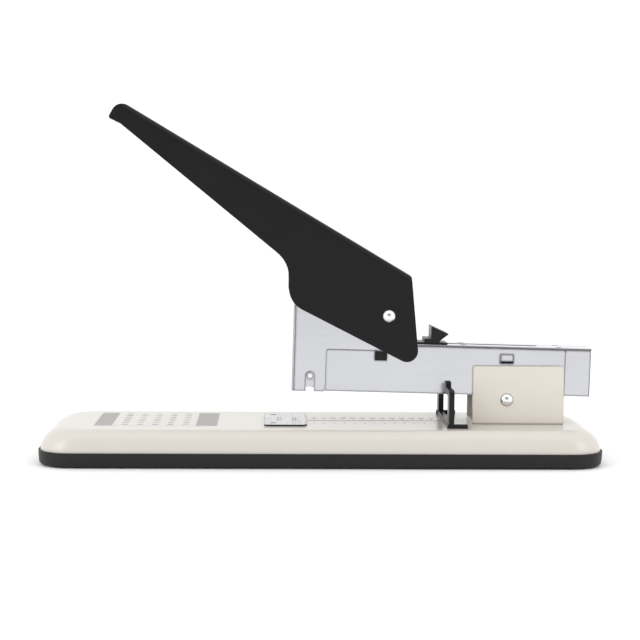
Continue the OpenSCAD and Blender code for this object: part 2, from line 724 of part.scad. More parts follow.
// A torsion coil on the pivot pin: one leg rests on the anchor, the other under the lever's web
module handle_spring() color("#8f9296") at_lever() {
    d = 0.8;
    r = pin_d / 2 + 1.5;
    length = 2 * lever_in - 3;
    foot = anchor_at + [0, anchor_d / 2 + d / 2];
    start = atan2(foot.y, foot.x) + acos(r / norm(foot));
    steps = 90;
    tip = handle_crown - handle_t - lever_t - d;
    leg = (tip - r * sin(handle_angle)) / cos(handle_angle);
    points = concat(
        [[foot.x, foot.y, 0]],
        [for (i = [0:steps]) let (a = start + (5 * 360 - start) * i / steps)
            [r * cos(a), r * sin(a), length * i / steps]],
        [[r, leg, length]]);
    translate([0, length / 2, 0]) rotate([90, 0, 0]) wire(points, d, [0, 0, 1]);
}

// ---- driver ----

module driver_block() color("#8a8d92") in_head() difference() {
    union() {
        block([blade_back, -channel_in + side_gap, block_top - block_h],
              [block_back, channel_in - side_gap, block_top]);
        block([block_back - 0.01, -ear_w / 2, block_top - 4],
              [driver_spring_x + 2.4, ear_w / 2, block_top - 1]);
    }
    driver_rivet_bars(2.4, blade_back - 1, blade_back + 3);
}

module driver_rivet_bars(d, x0, x1) for (y = [-3.5, 3.5])
    translate([x0, y, block_top - block_h / 2]) rotate([0, 90, 0]) cylinder(h = x1 - x0, d = d);

module driver_blade() color("#c4c7cb") in_head() difference() {
    block([blade_front, -staple_w / 2 + slide, blade_bottom], [blade_back, staple_w / 2 - slide, block_top]);
    driver_rivet_bars(2.4, blade_front - 1, blade_back + 1);
}

module driver_rivets() color("#b9bcc2") in_head()
    driver_rivet_bars(2.4 - 2 * fit, blade_front, blade_back + 3);

// ---- paper guide ----

module guide_side() polygon(rounded([
    [guide_w / 2, guide_z, 0], [guide_w / 2, base_top + post_h, 2], [guide_arm_in + 2.2, base_top + post_h, 0],
    [guide_arm_in + 2.2, guide_hook_z, 0.8], [guide_arm_in, guide_hook_z, 0.8],
    [guide_arm_in, guide_arm_z, 1], [guide_w / 2 - post_w, guide_arm_z, 1],
    [guide_w / 2 - post_w, guide_z, 0]]));

// A bar across the base with a post and a runner at each end, all one moulding
module paper_guide() color("#1f1f1f") difference() {
    union() {
        block([post_x, -guide_w / 2, guide_z], [post_x + guide_t, guide_w / 2, guide_z + guide_foot_t]);
        for (s = [0, 1]) mirror([0, s, 0]) {
            end_on(post_x, post_x + guide_t) guide_side();
            block([guide_x, guide_w / 2 - runner_w, guide_z],
                  [guide_x + guide_len, guide_w / 2, guide_z + guide_foot_t]);
        }
    }
    key_bar(0, guide_z + guide_foot_t - 0.8);
}

// The flat key of the guide, which fits the slot in the base, between two heights
module key_bar(z0, z1) block([guide_key_x, -guide_slot_w / 2 + slide, z0],
    [guide_key_x + guide_key_len, guide_slot_w / 2 - slide, z1]);

module guide_key() color("#9a9c9f") key_bar(stiff_under - 2.6, guide_z + guide_foot_t - 0.8);

// A plate on the key under the stiffener, between two heights
module key_plate(length, width, z0, z1) difference() {
    x = guide_key_x + guide_key_len / 2;
    block([x - length / 2, -width / 2, z0], [x + length / 2, width / 2, z1]);
    key_bar(z0 - 1, z1 + 1);
}

module guide_washer() color("#c8a24a") key_plate(9, 12, stiff_under - 0.6, stiff_under - fit);

module guide_clamp() color("#6d7075") key_plate(10, 16, stiff_under - 2.6, stiff_under - 0.6);

base_tray();
base_cover();
base_stiffener();
anvil_plate();
anvil_rivets();
rubber_feet();
tray_screws();
pivot_bracket();
bracket_screws();
head_pivot_pin();
lift_spring();
outer_frame();
head_channel();
front_plate();
top_cover();
cover_rivets();
magazine();
magazine_studs();
staple_rail();
staple_strip();
guide_rod();
rod_holder();
rear_stop();
pusher_spring();
driver_spring();
pusher_block();
pusher_knob();
handle_shell();
press_lever();
press_axle();
press_roller();
handle_pivot_pin();
pivot_bushes();
pivot_washers();
handle_spring();
spring_anchor();
driver_block();
driver_blade();
driver_rivets();
paper_guide();
guide_key();
guide_washer();
guide_clamp();
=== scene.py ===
import logging
import math
from dataclasses import dataclass, field
from enum import Enum
from typing import Iterable, Sequence

import bmesh
import bpy
from mathutils import Matrix, Vector


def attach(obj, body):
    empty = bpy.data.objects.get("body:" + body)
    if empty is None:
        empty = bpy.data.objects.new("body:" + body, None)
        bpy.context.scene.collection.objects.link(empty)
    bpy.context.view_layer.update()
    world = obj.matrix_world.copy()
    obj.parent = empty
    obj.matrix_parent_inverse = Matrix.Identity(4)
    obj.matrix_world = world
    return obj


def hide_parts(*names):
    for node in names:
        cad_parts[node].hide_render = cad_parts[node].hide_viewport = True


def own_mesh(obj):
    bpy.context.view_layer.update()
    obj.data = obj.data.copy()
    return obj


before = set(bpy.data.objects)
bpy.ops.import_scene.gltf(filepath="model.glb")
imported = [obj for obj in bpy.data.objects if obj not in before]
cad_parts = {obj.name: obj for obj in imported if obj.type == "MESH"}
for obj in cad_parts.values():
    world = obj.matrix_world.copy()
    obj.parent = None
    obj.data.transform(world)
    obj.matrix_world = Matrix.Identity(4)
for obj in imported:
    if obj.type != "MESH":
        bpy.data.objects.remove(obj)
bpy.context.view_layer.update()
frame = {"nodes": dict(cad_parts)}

MM = 0.001
MERGE_GAP = 0.002  # millimetres between corners that are one
SHORT_EDGE = 0.001  # millimetres, below which an edge is dropped
FLAT_ANGLE = 0.4  # degrees between faces that are one flat face
EDGE_TURN = (0.84, 0.99)  # cosine of the turn that counts as an edge, and as flat
LOG = logging.getLogger("stapler")


# ---------------------------------------------------------------------------
# Names shared by every sub-assembly
# ---------------------------------------------------------------------------


class Slot(Enum):
    """Material slots of the record."""

    BLACK_PLASTIC = "black_plastic"
    CREAM_PAINT = "cream_paint"
    BLACK_PAINT = "black_paint"
    CHROME = "chrome"
    BRIGHT_STEEL = "bright_steel"
    PLAIN_STEEL = "plain_steel"
    SPRING_STEEL = "spring_steel"
    BRASS = "brass"
    RUBBER = "rubber"


class Body(Enum):
    """Moving bodies of the stapler."""

    BASE = "base"
    HEAD = "head"
    HANDLE = "handle"
    DRIVER = "driver"
    PUSHER = "pusher"
    GUIDE = "guide"


def mm(*values: float) -> Vector:
    """A point or size given in millimetres, as a vector in metres."""
    return Vector(values) * MM


# ---------------------------------------------------------------------------
# Finishes
# ---------------------------------------------------------------------------


class Graph:
    """The nodes of one material, added and wired by short calls."""

    def __init__(self, name: str) -> None:
        """Starts a material with a Principled shader and its output.

        Args:
            name: The material's name.
        """
        self.material = bpy.data.materials.new(name)
        self.material.use_nodes = True
        self.tree = self.material.node_tree
        self.tree.nodes.clear()
        self.shader = self.tree.nodes.new("ShaderNodeBsdfPrincipled")
        output = self.tree.nodes.new("ShaderNodeOutputMaterial")
        self.tree.links.new(self.shader.outputs["BSDF"], output.inputs["Surface"])
        self.place = self.tree.nodes.new("ShaderNodeTexCoord").outputs["Object"]

    def set(self, **values: float | tuple[float, ...]) -> None:
        """Sets shader sockets, named with underscores for spaces.

        Args:
            values: Socket names and their values.
        """
        for name, value in values.items():
            self.shader.inputs[name.replace("_", " ")].default_value = value

    def mapped(self, scale: tuple[float, float, float]) -> bpy.types.NodeSocket:
        """Object coordinates stretched along the axes.

        Args:
            scale: Factor along each axis.

        Returns:
            The stretched coordinates.
        """
        node = self.tree.nodes.new("ShaderNodeMapping")
        node.inputs["Scale"].default_value = scale
        self.tree.links.new(self.place, node.inputs["Vector"])
        return node.outputs["Vector"]

    def noise(
        self, scale: float, detail: float = 3.0, where: bpy.types.NodeSocket | None = None
    ) -> bpy.types.NodeSocket:
        """A noise pattern.

        Args:
            scale: Cells per metre.
            detail: Octaves of finer noise.
            where: Coordinates, or None for Object coordinates.

        Returns:
            The pattern's value.
        """
        node = self.tree.nodes.new("ShaderNodeTexNoise")
        node.inputs["Scale"].default_value = scale
        node.inputs["Detail"].default_value = detail
        self.tree.links.new(where or self.place, node.inputs["Vector"])
        return node.outputs["Fac"]

    def ranged(
        self, value: bpy.types.NodeSocket, low: float, high: float,
        source: tuple[float, float] = (0.3, 0.7),
    ) -> bpy.types.NodeSocket:
        """A value mapped from one range to another and clamped.

        Args:
            value: The value to map.
            low: Result at the source's lower end.
            high: Result at the source's upper end.
            source: The source range.

        Returns:
            The mapped value.
        """
        node = self.tree.nodes.new("ShaderNodeMapRange")
        node.inputs["From Min"].default_value, node.inputs["From Max"].default_value = source
        node.inputs["To Min"].default_value, node.inputs["To Max"].default_value = low, high
        self.tree.links.new(value, node.inputs["Value"])
        return node.outputs["Result"]

    def blended(
        self, share: bpy.types.NodeSocket, first: tuple[float, ...], second: tuple[float, ...]
    ) -> bpy.types.NodeSocket:
        """A colour between two colours.

        Args:
            share: How much of the second colour.
            first: Colour at share 0.
            second: Colour at share 1.

        Returns:
            The mixed colour.
        """
        node = self.tree.nodes.new("ShaderNodeMix")
        node.data_type = "RGBA"
        node.inputs[6].default_value = (*first, 1.0)
        node.inputs[7].default_value = (*second, 1.0)
        self.tree.links.new(share, node.inputs[0])
        return node.outputs[2]

    def tinted(
        self, color: bpy.types.NodeSocket, share: bpy.types.NodeSocket, tint: tuple[float, ...]
    ) -> bpy.types.NodeSocket:
        """A colour drawn towards a tint.

        Args:
            color: The colour.
            share: How much of the tint.
            tint: The tint.

        Returns:
            The mixed colour.
        """
        mixed = self.blended(share, tint, tint)
        self.tree.links.new(color, mixed.node.inputs[6])
        return mixed

    def edges(self, most: float, radius: float = 0.0005) -> bpy.types.NodeSocket:
        """Where the surface turns over an edge.

        Args:
            most: Value right on an edge.
            radius: How far from the edge it reaches, in metres.

        Returns:
            0 on flat surfaces to the given value on edges.
        """
        soft = self.tree.nodes.new("ShaderNodeBevel")
        soft.samples = 4
        soft.inputs["Radius"].default_value = radius
        plain = self.tree.nodes.new("ShaderNodeNewGeometry")
        dot = self.tree.nodes.new("ShaderNodeVectorMath")
        dot.operation = "DOT_PRODUCT"
        self.tree.links.new(soft.outputs["Normal"], dot.inputs[0])
        self.tree.links.new(plain.outputs["Normal"], dot.inputs[1])
        return self.ranged(dot.outputs["Value"], most, 0.0, EDGE_TURN)

    def upright(self) -> bpy.types.NodeSocket:
        """Where the surface stands upright.

        Returns:
            0 on level surfaces to 1 on upright ones.
        """
        facing = self.tree.nodes.new("ShaderNodeTexCoord").outputs["Normal"]
        split = self.tree.nodes.new("ShaderNodeSeparateXYZ")
        self.tree.links.new(facing, split.inputs["Vector"])
        return self.ranged(split.outputs["Z"], 1.0, 0.0, (0.3, 0.8))

    def to(self, value: bpy.types.NodeSocket, socket: str) -> None:
        """Wires a value to one of the shader's sockets."""
        self.tree.links.new(value, self.shader.inputs[socket])

    def bump(self, height: bpy.types.NodeSocket, depth: float, strength: float = 1.0) -> None:
        """Raises the surface by a pattern.

        Args:
            height: The pattern, 0 to 1.
            depth: Height of the pattern in metres.
            strength: Share of the pattern that shows.
        """
        node = self.tree.nodes.new("ShaderNodeBump")
        node.inputs["Strength"].default_value = strength
        node.inputs["Distance"].default_value = depth
        self.tree.links.new(height, node.inputs["Height"])
        self.to(node.outputs["Normal"], "Normal")


class Finish:
    """A surface finish, made into a material once and then shared."""

    made: dict[str, bpy.types.Material] = {}
    name: str

    def paint(self, graph: Graph) -> None:
        """Wires the finish's patterns, which each finish does its own way."""
        raise NotImplementedError

    def material(self) -> bpy.types.Material:
        """The finish's material, made on first use.

        Returns:
            The shared material.
        """
        if self.name not in Finish.made:
            graph = Graph(self.name)
            self.paint(graph)
            Finish.made[self.name] = graph.material
        return Finish.made[self.name]


@dataclass(frozen=True)
class Enamel(Finish):
    """Sprayed gloss paint with a slight orange peel, and edges that can be darkened as painted shade."""

    name: str
    color: tuple[float, float, float]
    roughness: float = 0.3
    peel: float = 900.0
    peel_depth: float = 0.00002
    coat: float = 0.3
    shade: float = 0.97
    # Darkness painted along the edges as shade; 0 leaves them plain.
    edge: float = 0.0

    def paint(self, graph: Graph) -> None:
        """Adds a soft mottle, an orange peel and a thin clear coat, and darkens the edges as painted shade
        when edge is set.
        """
        mottle = graph.noise(9.0, 0.0)
        dark = tuple(c * self.shade for c in self.color)
        sprayed = graph.blended(mottle, dark, self.color)
        # Painted shade: the edges are drawn towards a quarter of the colour.
        if self.edge:
            rim = tuple(c * 0.25 for c in self.color)
            sprayed = graph.tinted(sprayed, graph.edges(self.edge, 0.0007), rim)
        graph.to(sprayed, "Base Color")
        low, high = self.roughness - 0.015, self.roughness + 0.015
        sheen = graph.ranged(graph.noise(25.0, 0.0), low, high, (0.0, 1.0))
        graph.to(sheen, "Roughness")
        graph.bump(graph.noise(self.peel, 0.0), self.peel_depth, 0.12)
        graph.set(Coat_Weight=self.coat, Coat_Roughness=0.12)


@dataclass(frozen=True)
class PowderCoat(Finish):
    """Baked textured paint on pressed steel, painted lighter at its edges as a highlight along the bends."""

    name: str
    color: tuple[float, float, float]
    # Colour that the edges are drawn towards, a painted highlight.
    edge_light_and_shade: tuple[float, float, float]
    roughness: float = 0.42
    grain: float = 2600.0

    def paint(self, graph: Graph) -> None:
        """Adds a fine grain, lighter edges as a painted highlight, and an uneven sheen."""
        # Painted highlight: the edges are drawn towards a paler colour.
        graph.to(graph.blended(graph.edges(0.7), self.color, self.edge_light_and_shade), "Base Color")
        rough = graph.ranged(graph.noise(35.0), self.roughness - 0.05, self.roughness + 0.06)
        graph.to(rough, "Roughness")
        graph.bump(graph.noise(self.grain, 2.0), 0.00003, 0.4)
        graph.set(Specular_IOR_Level=0.24)


@dataclass(frozen=True)
class Chrome(Finish):
    """Bright plating over polished steel, with faint rub marks, and edges darkened as duller cut metal and
    as painted shade and dark reflection.
    """

    name: str
    color: tuple[float, float, float]
    roughness: float = 0.16
    ripple: float = 45.0
    # Darkness painted along the edges, partly duller cut metal, partly painted shade and dark reflection.
    edge: float = 1.0
    edge_shade_width: float = 0.001

    def paint(self, graph: Graph) -> None:
        """Adds a slow ripple in the plating, hairline marks along X, and near-black edges that stand for
        duller cut metal and for painted shade and dark reflection.
        """
        hairlines = graph.noise(260.0, 4.0, graph.mapped((0.12, 1.0, 1.6)))
        graph.to(graph.ranged(hairlines, self.roughness - 0.02, self.roughness + 0.03), "Roughness")
        tint = tuple(c * 0.95 for c in self.color)
        plated = graph.blended(graph.ranged(graph.noise(22.0), 0.0, 1.0), tint, self.color)
        # Painted shade and dark reflection, with some duller cut metal: the edges are drawn towards
        # near-black.
        cut = graph.edges(self.edge, self.edge_shade_width)
        graph.to(graph.tinted(plated, cut, (0.03, 0.03, 0.035)), "Base Color")
        graph.bump(graph.noise(self.ripple, 1.0), 0.00012, 0.35)
        graph.set(Metallic=1.0)


@dataclass(frozen=True)
class GroundSteel(Finish):
    """Bare or zinc-coated steel with a grain left by grinding along one axis, and painted shade on its
    edges.
    """

    name: str
    color: tuple[float, float, float]
    roughness: float = 0.34
    along: tuple[float, float, float] = (0.05, 1.0, 1.0)
    # Darkness painted along the edges as shade.
    edge: float = 0.7
    edge_shade_width: float = 0.0003
    # Share of the colour left on upright faces; below 1 they are painted darker as shade.
    side: float = 1.0

    def paint(self, graph: Graph) -> None:
        """Adds grinding lines to the roughness, the colour and the surface, and painted shade that darkens
        the edges and the upright sides.
        """
        grain = graph.noise(1500.0, 4.0, graph.mapped(self.along))
        graph.to(graph.ranged(grain, self.roughness - 0.1, self.roughness + 0.12), "Roughness")
        dull = tuple(c * 0.8 for c in self.color)
        metal = graph.blended(graph.ranged(graph.noise(90.0), 0.0, 1.0), dull, self.color)
        # Painted shade: upright faces are darkened.
        if self.side < 1.0:
            metal = graph.tinted(metal, graph.upright(), tuple(c * self.side for c in self.color))
        # Painted shade: the edges are drawn towards near-black.
        edge_light_and_shade = graph.tinted(metal, graph.edges(self.edge, self.edge_shade_width), (0.05, 0.05, 0.05))
        graph.to(edge_light_and_shade, "Base Color")
        graph.bump(grain, 0.00001, 0.5)
        graph.set(Metallic=1.0)


@dataclass(frozen=True)
class Moulded(Finish):
    """Moulded black plastic with a fine spark-eroded grain, and paler edges painted as a highlight."""

    name: str
    color: tuple[float, float, float]
    # Colour that the edges are drawn towards, a painted highlight.
    edge_light_and_shade: tuple[float, float, float]
    roughness: float = 0.45
    grain: float = 3200.0
    depth: float = 0.00003

    def paint(self, graph: Graph) -> None:
        """Adds the grain, a cloudy sheen, and paler edges as a painted highlight."""
        # Painted highlight: the edges are drawn towards a paler colour.
        graph.to(graph.blended(graph.edges(0.6), self.color, self.edge_light_and_shade), "Base Color")
        graph.to(graph.ranged(graph.noise(50.0), self.roughness - 0.05, self.roughness + 0.07), "Roughness")
        graph.bump(graph.noise(self.grain, 2.0), self.depth, 0.5)
        graph.set(Specular_IOR_Level=0.3)


@dataclass(frozen=True)
class Rubber(Finish):
    """Dull black rubber."""

    name: str
    color: tuple[float, float, float]

    def paint(self, graph: Graph) -> None:
        """Adds a chalky bloom and a coarse grain."""
        pale = tuple(c * 2.2 + 0.01 for c in self.color)
        bloom = graph.ranged(graph.noise(400.0), 0.0, 0.5)
        graph.to(graph.blended(bloom, self.color, pale), "Base Color")
        graph.to(graph.ranged(graph.noise(900.0), 0.72, 0.9), "Roughness")
        graph.bump(graph.noise(2200.0, 3.0), 0.00006, 0.6)


@dataclass(frozen=True)
class Ink(Finish):
    """Printed ink or coated paper, slightly uneven."""

    name: str
    color: tuple[float, float, float]
    roughness: float = 0.5
    spread: float = 0.9

    def paint(self, graph: Graph) -> None:
        """Adds an uneven density and a paper-like tooth."""
        thin = tuple(c * self.spread for c in self.color)
        density = graph.ranged(graph.noise(1200.0, 3.0), 0.0, 1.0)
        graph.to(graph.blended(density, thin, self.color), "Base Color")
        graph.to(graph.ranged(graph.noise(700.0), self.roughness - 0.06, self.roughness + 0.06), "Roughness")
        graph.bump(graph.noise(3000.0, 2.0), 0.000008, 0.5)


@dataclass(frozen=True)
class Palette:
    """Every finish of the stapler."""

    cream: Enamel = Enamel("cream enamel", (0.62, 0.588, 0.536), 0.28)
    # Its edges are darkened as painted shade.
    cream_bracket: Enamel = Enamel("cream bracket enamel", (0.665, 0.622, 0.555), 0.32, edge=0.8)
    # The second colour of the powder coat and the plastics is a painted edge highlight.
    handle: PowderCoat = PowderCoat("black powder coat", (0.0035, 0.0035, 0.0037), (0.04, 0.04, 0.04), 0.36)
    tray: Moulded = Moulded("black tray plastic", (0.010, 0.010, 0.010), (0.05, 0.05, 0.05), 0.5, 1800.0)
    plastic: Moulded = Moulded("black moulded plastic", (0.0035, 0.0035, 0.0035), (0.045, 0.045, 0.045), 0.3)
    chrome: Chrome = Chrome("chrome plate", (0.61, 0.615, 0.64))
    # A little darker, with wider painted shade and dark reflection along the edges.
    frame_chrome: Chrome = Chrome("frame chrome plate", (0.59, 0.595, 0.622), edge_shade_width=0.0016)
    pin_chrome: Chrome = Chrome("polished pin chrome", (0.84, 0.845, 0.86), 0.08, 8.0)
    # Wide painted shade and dark reflection round the studs' edges.
    stud_chrome: Chrome = Chrome("polished stud chrome", (0.84, 0.845, 0.86), 0.1, 8.0, edge_shade_width=0.0022)
    bright: GroundSteel = GroundSteel("bright ground steel", (0.66, 0.66, 0.67), 0.28)
    # Edges and upright sides painted dark as shade.
    anvil: GroundSteel = GroundSteel(
        "anvil steel", (0.66, 0.65, 0.655), 0.3, (1.0, 0.05, 1.0), 1.0, 0.0009, 0.08
    )
    plain: GroundSteel = GroundSteel("zinc-coated steel", (0.45, 0.455, 0.47), 0.42, (1.0, 1.0, 1.0))
    spring: GroundSteel = GroundSteel("spring wire", (0.38, 0.38, 0.39), 0.3, (1.0, 1.0, 0.2))
    staple: GroundSteel = GroundSteel("galvanised staple wire", (0.62, 0.62, 0.63), 0.3, (1.0, 0.1, 0.1))
    brass: GroundSteel = GroundSteel("brass", (0.72, 0.52, 0.22), 0.32, (1.0, 1.0, 1.0))
    rubber: Rubber = Rubber("black rubber", (0.012, 0.012, 0.012))
    ink: Ink = Ink("grey print", (0.045, 0.045, 0.05))
    label: Ink = Ink("label paper", (0.70, 0.68, 0.64), 0.42, 0.98)
    label_grey: Ink = Ink("label grey print", (0.36, 0.35, 0.335), 0.45, 0.92)


PALETTE = Palette()


# ---------------------------------------------------------------------------
# Making and mounting meshes
# ---------------------------------------------------------------------------


class Maker:
    """Turns meshes into finished pieces and mounts them on the frame."""

    @staticmethod
    def piece(name: str, mesh: bpy.types.Mesh) -> bpy.types.Object:
        """Links a new object at the origin.

        Args:
            name: The object's name.
            mesh: Its mesh, with the place in the vertices.

        Returns:
            The object.
        """
        made = bpy.data.objects.new("look_" + name.replace(" ", "_"), mesh)
        bpy.context.scene.collection.objects.link(made)
        return made

    @staticmethod
    def from_bmesh(name: str, work: bmesh.types.BMesh) -> bpy.types.Object:
        """Makes an object from a bmesh, with its faces turned outwards.

        Args:
            name: The object's name.
            work: The bmesh, which is freed.

        Returns:
            The object.
        """
        bmesh.ops.recalc_face_normals(work, faces=work.faces)
        mesh = bpy.data.meshes.new(name)
        work.to_mesh(mesh)
        work.free()
        return Maker.piece(name, mesh)

    @staticmethod
    def smoothed(thing: bpy.types.Object, angle: float = 32.0) -> bpy.types.Object:
        """Shades smooth, with edges sharper than an angle kept crisp.

        Args:
            thing: The object to shade.
            angle: Sharpest smooth angle in degrees.

        Returns:
            The same object.
        """
        mesh = thing.data
        mesh.polygons.foreach_set("use_smooth", [True] * len(mesh.polygons))
        mesh.set_sharp_from_angle(angle=math.radians(angle))
        return thing

    @staticmethod
    def evened(thing: bpy.types.Object) -> bpy.types.Object:
        """Lets large flat faces rule the shading round them, and splits many-sided faces evenly.

        Args:
            thing: The object, whose modifiers are applied too.

        Returns:
            The same object with a plain mesh.
        """
        weigh = thing.modifiers.new("even shading", "WEIGHTED_NORMAL")
        weigh.mode, weigh.weight, weigh.keep_sharp = "FACE_AREA", 100, True
        split = thing.modifiers.new("even triangles", "TRIANGULATE")
        split.ngon_method, split.min_vertices, split.keep_custom_normals = "BEAUTY", 5, True
        return Maker.settled(thing)

    @staticmethod
    def settled(thing: bpy.types.Object) -> bpy.types.Object:
        """Replaces an object's mesh by its evaluated one and drops its modifiers.

        Args:
            thing: The object with live modifiers.

        Returns:
            The same object with a plain mesh.
        """
        bpy.context.view_layer.update()
        graph = bpy.context.evaluated_depsgraph_get()
        mesh = bpy.data.meshes.new_from_object(
            thing.evaluated_get(graph), preserve_all_data_layers=True, depsgraph=graph
        )
        thing.modifiers.clear()
        thing.data = mesh
        return thing

    @staticmethod
    def flat_text(curve: bpy.types.Curve) -> bpy.types.Mesh:
        """Turns a text curve into a mesh round the origin.

        Args:
            curve: The text.

        Returns:
            Its mesh.
        """
        holder = Maker.piece("text", curve)
        bpy.context.view_layer.update()
        graph = bpy.context.evaluated_depsgraph_get()
        mesh = bpy.data.meshes.new_from_object(holder.evaluated_get(graph), depsgraph=graph)
        bpy.data.objects.remove(holder)
        return mesh

    @staticmethod
    def merged(node: str) -> bpy.types.Object:
        """Copies a CAD node, merges its loose triangles and clears its flat faces.

        Args:
            node: The CAD node.

        Returns:
            A new object with clean faces.
        """
        work = bmesh.new()
        work.from_mesh(frame["nodes"][node].data)
        bmesh.ops.remove_doubles(work, verts=work.verts, dist=MERGE_GAP * MM)
        bmesh.ops.dissolve_degenerate(work, edges=work.edges, dist=SHORT_EDGE * MM)
        bmesh.ops.dissolve_limit(
            work, angle_limit=math.radians(FLAT_ANGLE), verts=work.verts, edges=work.edges
        )
        mesh = bpy.data.meshes.new(node)
        work.to_mesh(mesh)
        work.free()
        return Maker.piece(node, mesh)

    @staticmethod
    def rounded(
        thing: bpy.types.Object, width: float, segments: int = 2, limit: float = 34.0
    ) -> bpy.types.Object:
        """Rounds an object's sharp edges.

        Args:
            thing: The object.
            width: Width of the rounding in millimetres.
            segments: Steps across the rounding.
            limit: Smallest angle in degrees that is rounded.

        Returns:
            The same object with a plain, rounded mesh.
        """
        bevel = thing.modifiers.new("rounding", "BEVEL")
        bevel.width = width * MM
        bevel.segments = segments
        bevel.limit_method = "ANGLE"
        bevel.angle_limit = math.radians(limit)
        bevel.use_clamp_overlap = True
        bevel.miter_outer = "MITER_ARC"
        Maker.smoothed(thing)
        return Maker.evened(thing)

    @staticmethod
    def mount(
        thing: bpy.types.Object, body: Body, slot: Slot, finish: Finish, *nodes: str
    ) -> bpy.types.Object:
        """Gives a piece its finish, its body and the CAD nodes that it stands for.

        Args:
            thing: The finished piece.
            body: The body that it rides on.
            slot: The record's material slot; not used.
            finish: Its finish.
            nodes: CAD nodes that it replaces.

        Returns:
            The same object.
        """
        thing.data.materials.clear()
        thing.data.materials.append(finish.material())
        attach(thing, body.value)
        if nodes:
            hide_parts(*nodes)
        LOG.info("%s: %d faces", thing.name, len(thing.data.polygons))
        return thing


class Shapes:
    """Small solids and lofts, in millimetres, added to a bmesh."""

    @staticmethod
    def loft(work: bmesh.types.BMesh, rings: Sequence[Sequence[Vector]]) -> None:
        """Skins rings that have the same number of points, and closes both ends.

        Args:
            work: The bmesh that gets the skin.
            rings: The rings in order, in metres.
        """
        rows = [[work.verts.new(p) for p in ring] for ring in rings]
        count = len(rows[0])
        for low, high in zip(rows, rows[1:]):
            for i in range(count):
                j = (i + 1) % count
                work.faces.new((low[i], low[j], high[j], high[i]))
        work.faces.new(list(reversed(rows[0])))
        work.faces.new(rows[-1])

    @staticmethod
    def box(work: bmesh.types.BMesh, low: Vector, high: Vector) -> None:
        """Adds a box between two corners in metres."""
        corners = [(low.x, low.y), (high.x, low.y), (high.x, high.y), (low.x, high.y)]
        Shapes.loft(work, [[Vector((x, y, z)) for x, y in corners] for z in (low.z, high.z)])

    @staticmethod
    def turned(
        work: bmesh.types.BMesh, profile: Sequence[tuple[float, float]], place: Matrix, steps: int = 40
    ) -> None:
        """Adds a solid turned about Z from a profile of radius and height.

        Args:
            work: The bmesh that gets the solid.
            profile: Radius and height pairs in millimetres, from one end to the other.
            place: Where the solid goes, in metres.
            steps: Faces around it.
        """
        rings = []
        for radius, height in profile:
            ring = []
            for i in range(steps):
                angle = math.tau * i / steps
                spot = mm(radius * math.cos(angle), radius * math.sin(angle), height)
                ring.append(place @ spot)
            rings.append(ring)
        Shapes.loft(work, rings)

    @staticmethod
    def plan(length: float, width: float, radius: float, z: float, steps: int = 14) -> list[Vector]:
        """A rectangle with round corners, seen from above.

        Args:
            length: Size along X in millimetres.
            width: Size along Y in millimetres.
            radius: Radius of the corners in millimetres.
            z: Height in millimetres.
            steps: Faces in each corner.

        Returns:
            The points in order, in metres.
        """
        points = []
        for sx, sy, start in ((1, 1, 0), (-1, 1, 90), (-1, -1, 180), (1, -1, 270)):
            cx, cy = sx * (length / 2 - radius), sy * (width / 2 - radius)
            for i in range(steps + 1):
                angle = math.radians(start + 90 * i / steps)
                points.append(mm(cx + radius * math.cos(angle), cy + radius * math.sin(angle), z))
        return points


# ---------------------------------------------------------------------------
# Geometry Nodes for what repeats
# ---------------------------------------------------------------------------


class NodeTree:
    """A geometry tree with named inputs that ends in Realize Instances and Set Material."""

    def __init__(self, name: str) -> None:
        """Starts a tree with its geometry and finish sockets.

        Args:
            name: The tree's name.
        """
        self.tree = bpy.data.node_groups.new(name, "GeometryNodeTree")
        self.sockets: dict[str, str] = {}
        self.add_input("Start", "NodeSocketGeometry")
        self.tree.interface.new_socket("Result", in_out="OUTPUT", socket_type="NodeSocketGeometry")
        self.add_input("Finish", "NodeSocketMaterial")
        self.source = self.tree.nodes.new("NodeGroupInput")

    def add_input(self, name: str, kind: str) -> None:
        """Adds a named input and notes its identifier."""
        made = self.tree.interface.new_socket(name, in_out="INPUT", socket_type=kind)
        self.sockets[name] = made.identifier

    def node(self, kind: str, **links: bpy.types.NodeSocket | float | tuple) -> bpy.types.Node:
        """Adds a node and fills its inputs.

        Args:
            kind: The node's type.
            links: Input names, with underscores for spaces, and sockets or plain values.

        Returns:
            The node.
        """
        made = self.tree.nodes.new(kind)
        for name, value in links.items():
            target = made.inputs[name.replace("_", " ")]
            if isinstance(value, bpy.types.NodeSocket):
                self.tree.links.new(value, target)
            else:
                target.default_value = value
        return made

    def given(self, name: str) -> bpy.types.NodeSocket:
        """The value of a named input."""
        return self.source.outputs[name]

    def close(self, geometry: bpy.types.NodeSocket) -> "NodeTree":
        """Ends the tree.

        Args:
            geometry: What the tree has made.

        Returns:
            The tree itself.
        """
        real = self.node("GeometryNodeRealizeInstances", Geometry=geometry)
        dressed = self.node(
            "GeometryNodeSetMaterial", Geometry=real.outputs[0], Material=self.given("Finish")
        )
        result = self.tree.nodes.new("NodeGroupOutput")
        self.tree.links.new(dressed.outputs[0], result.inputs[0])
        return self

    def run(self, thing: bpy.types.Object, **values: object) -> bpy.types.Object:
        """Runs the tree on an object and keeps the result as its plain mesh.

        Args:
            thing: The object that the tree starts from.
            values: Input names, with underscores for spaces, and their values.

        Returns:
            The same object.
        """
        modifier = thing.modifiers.new("repeat", "NODES")
        modifier.node_group = self.tree
        for name, value in values.items():
            modifier[self.sockets[name.replace("_", " ")]] = value
        return Maker.settled(thing)


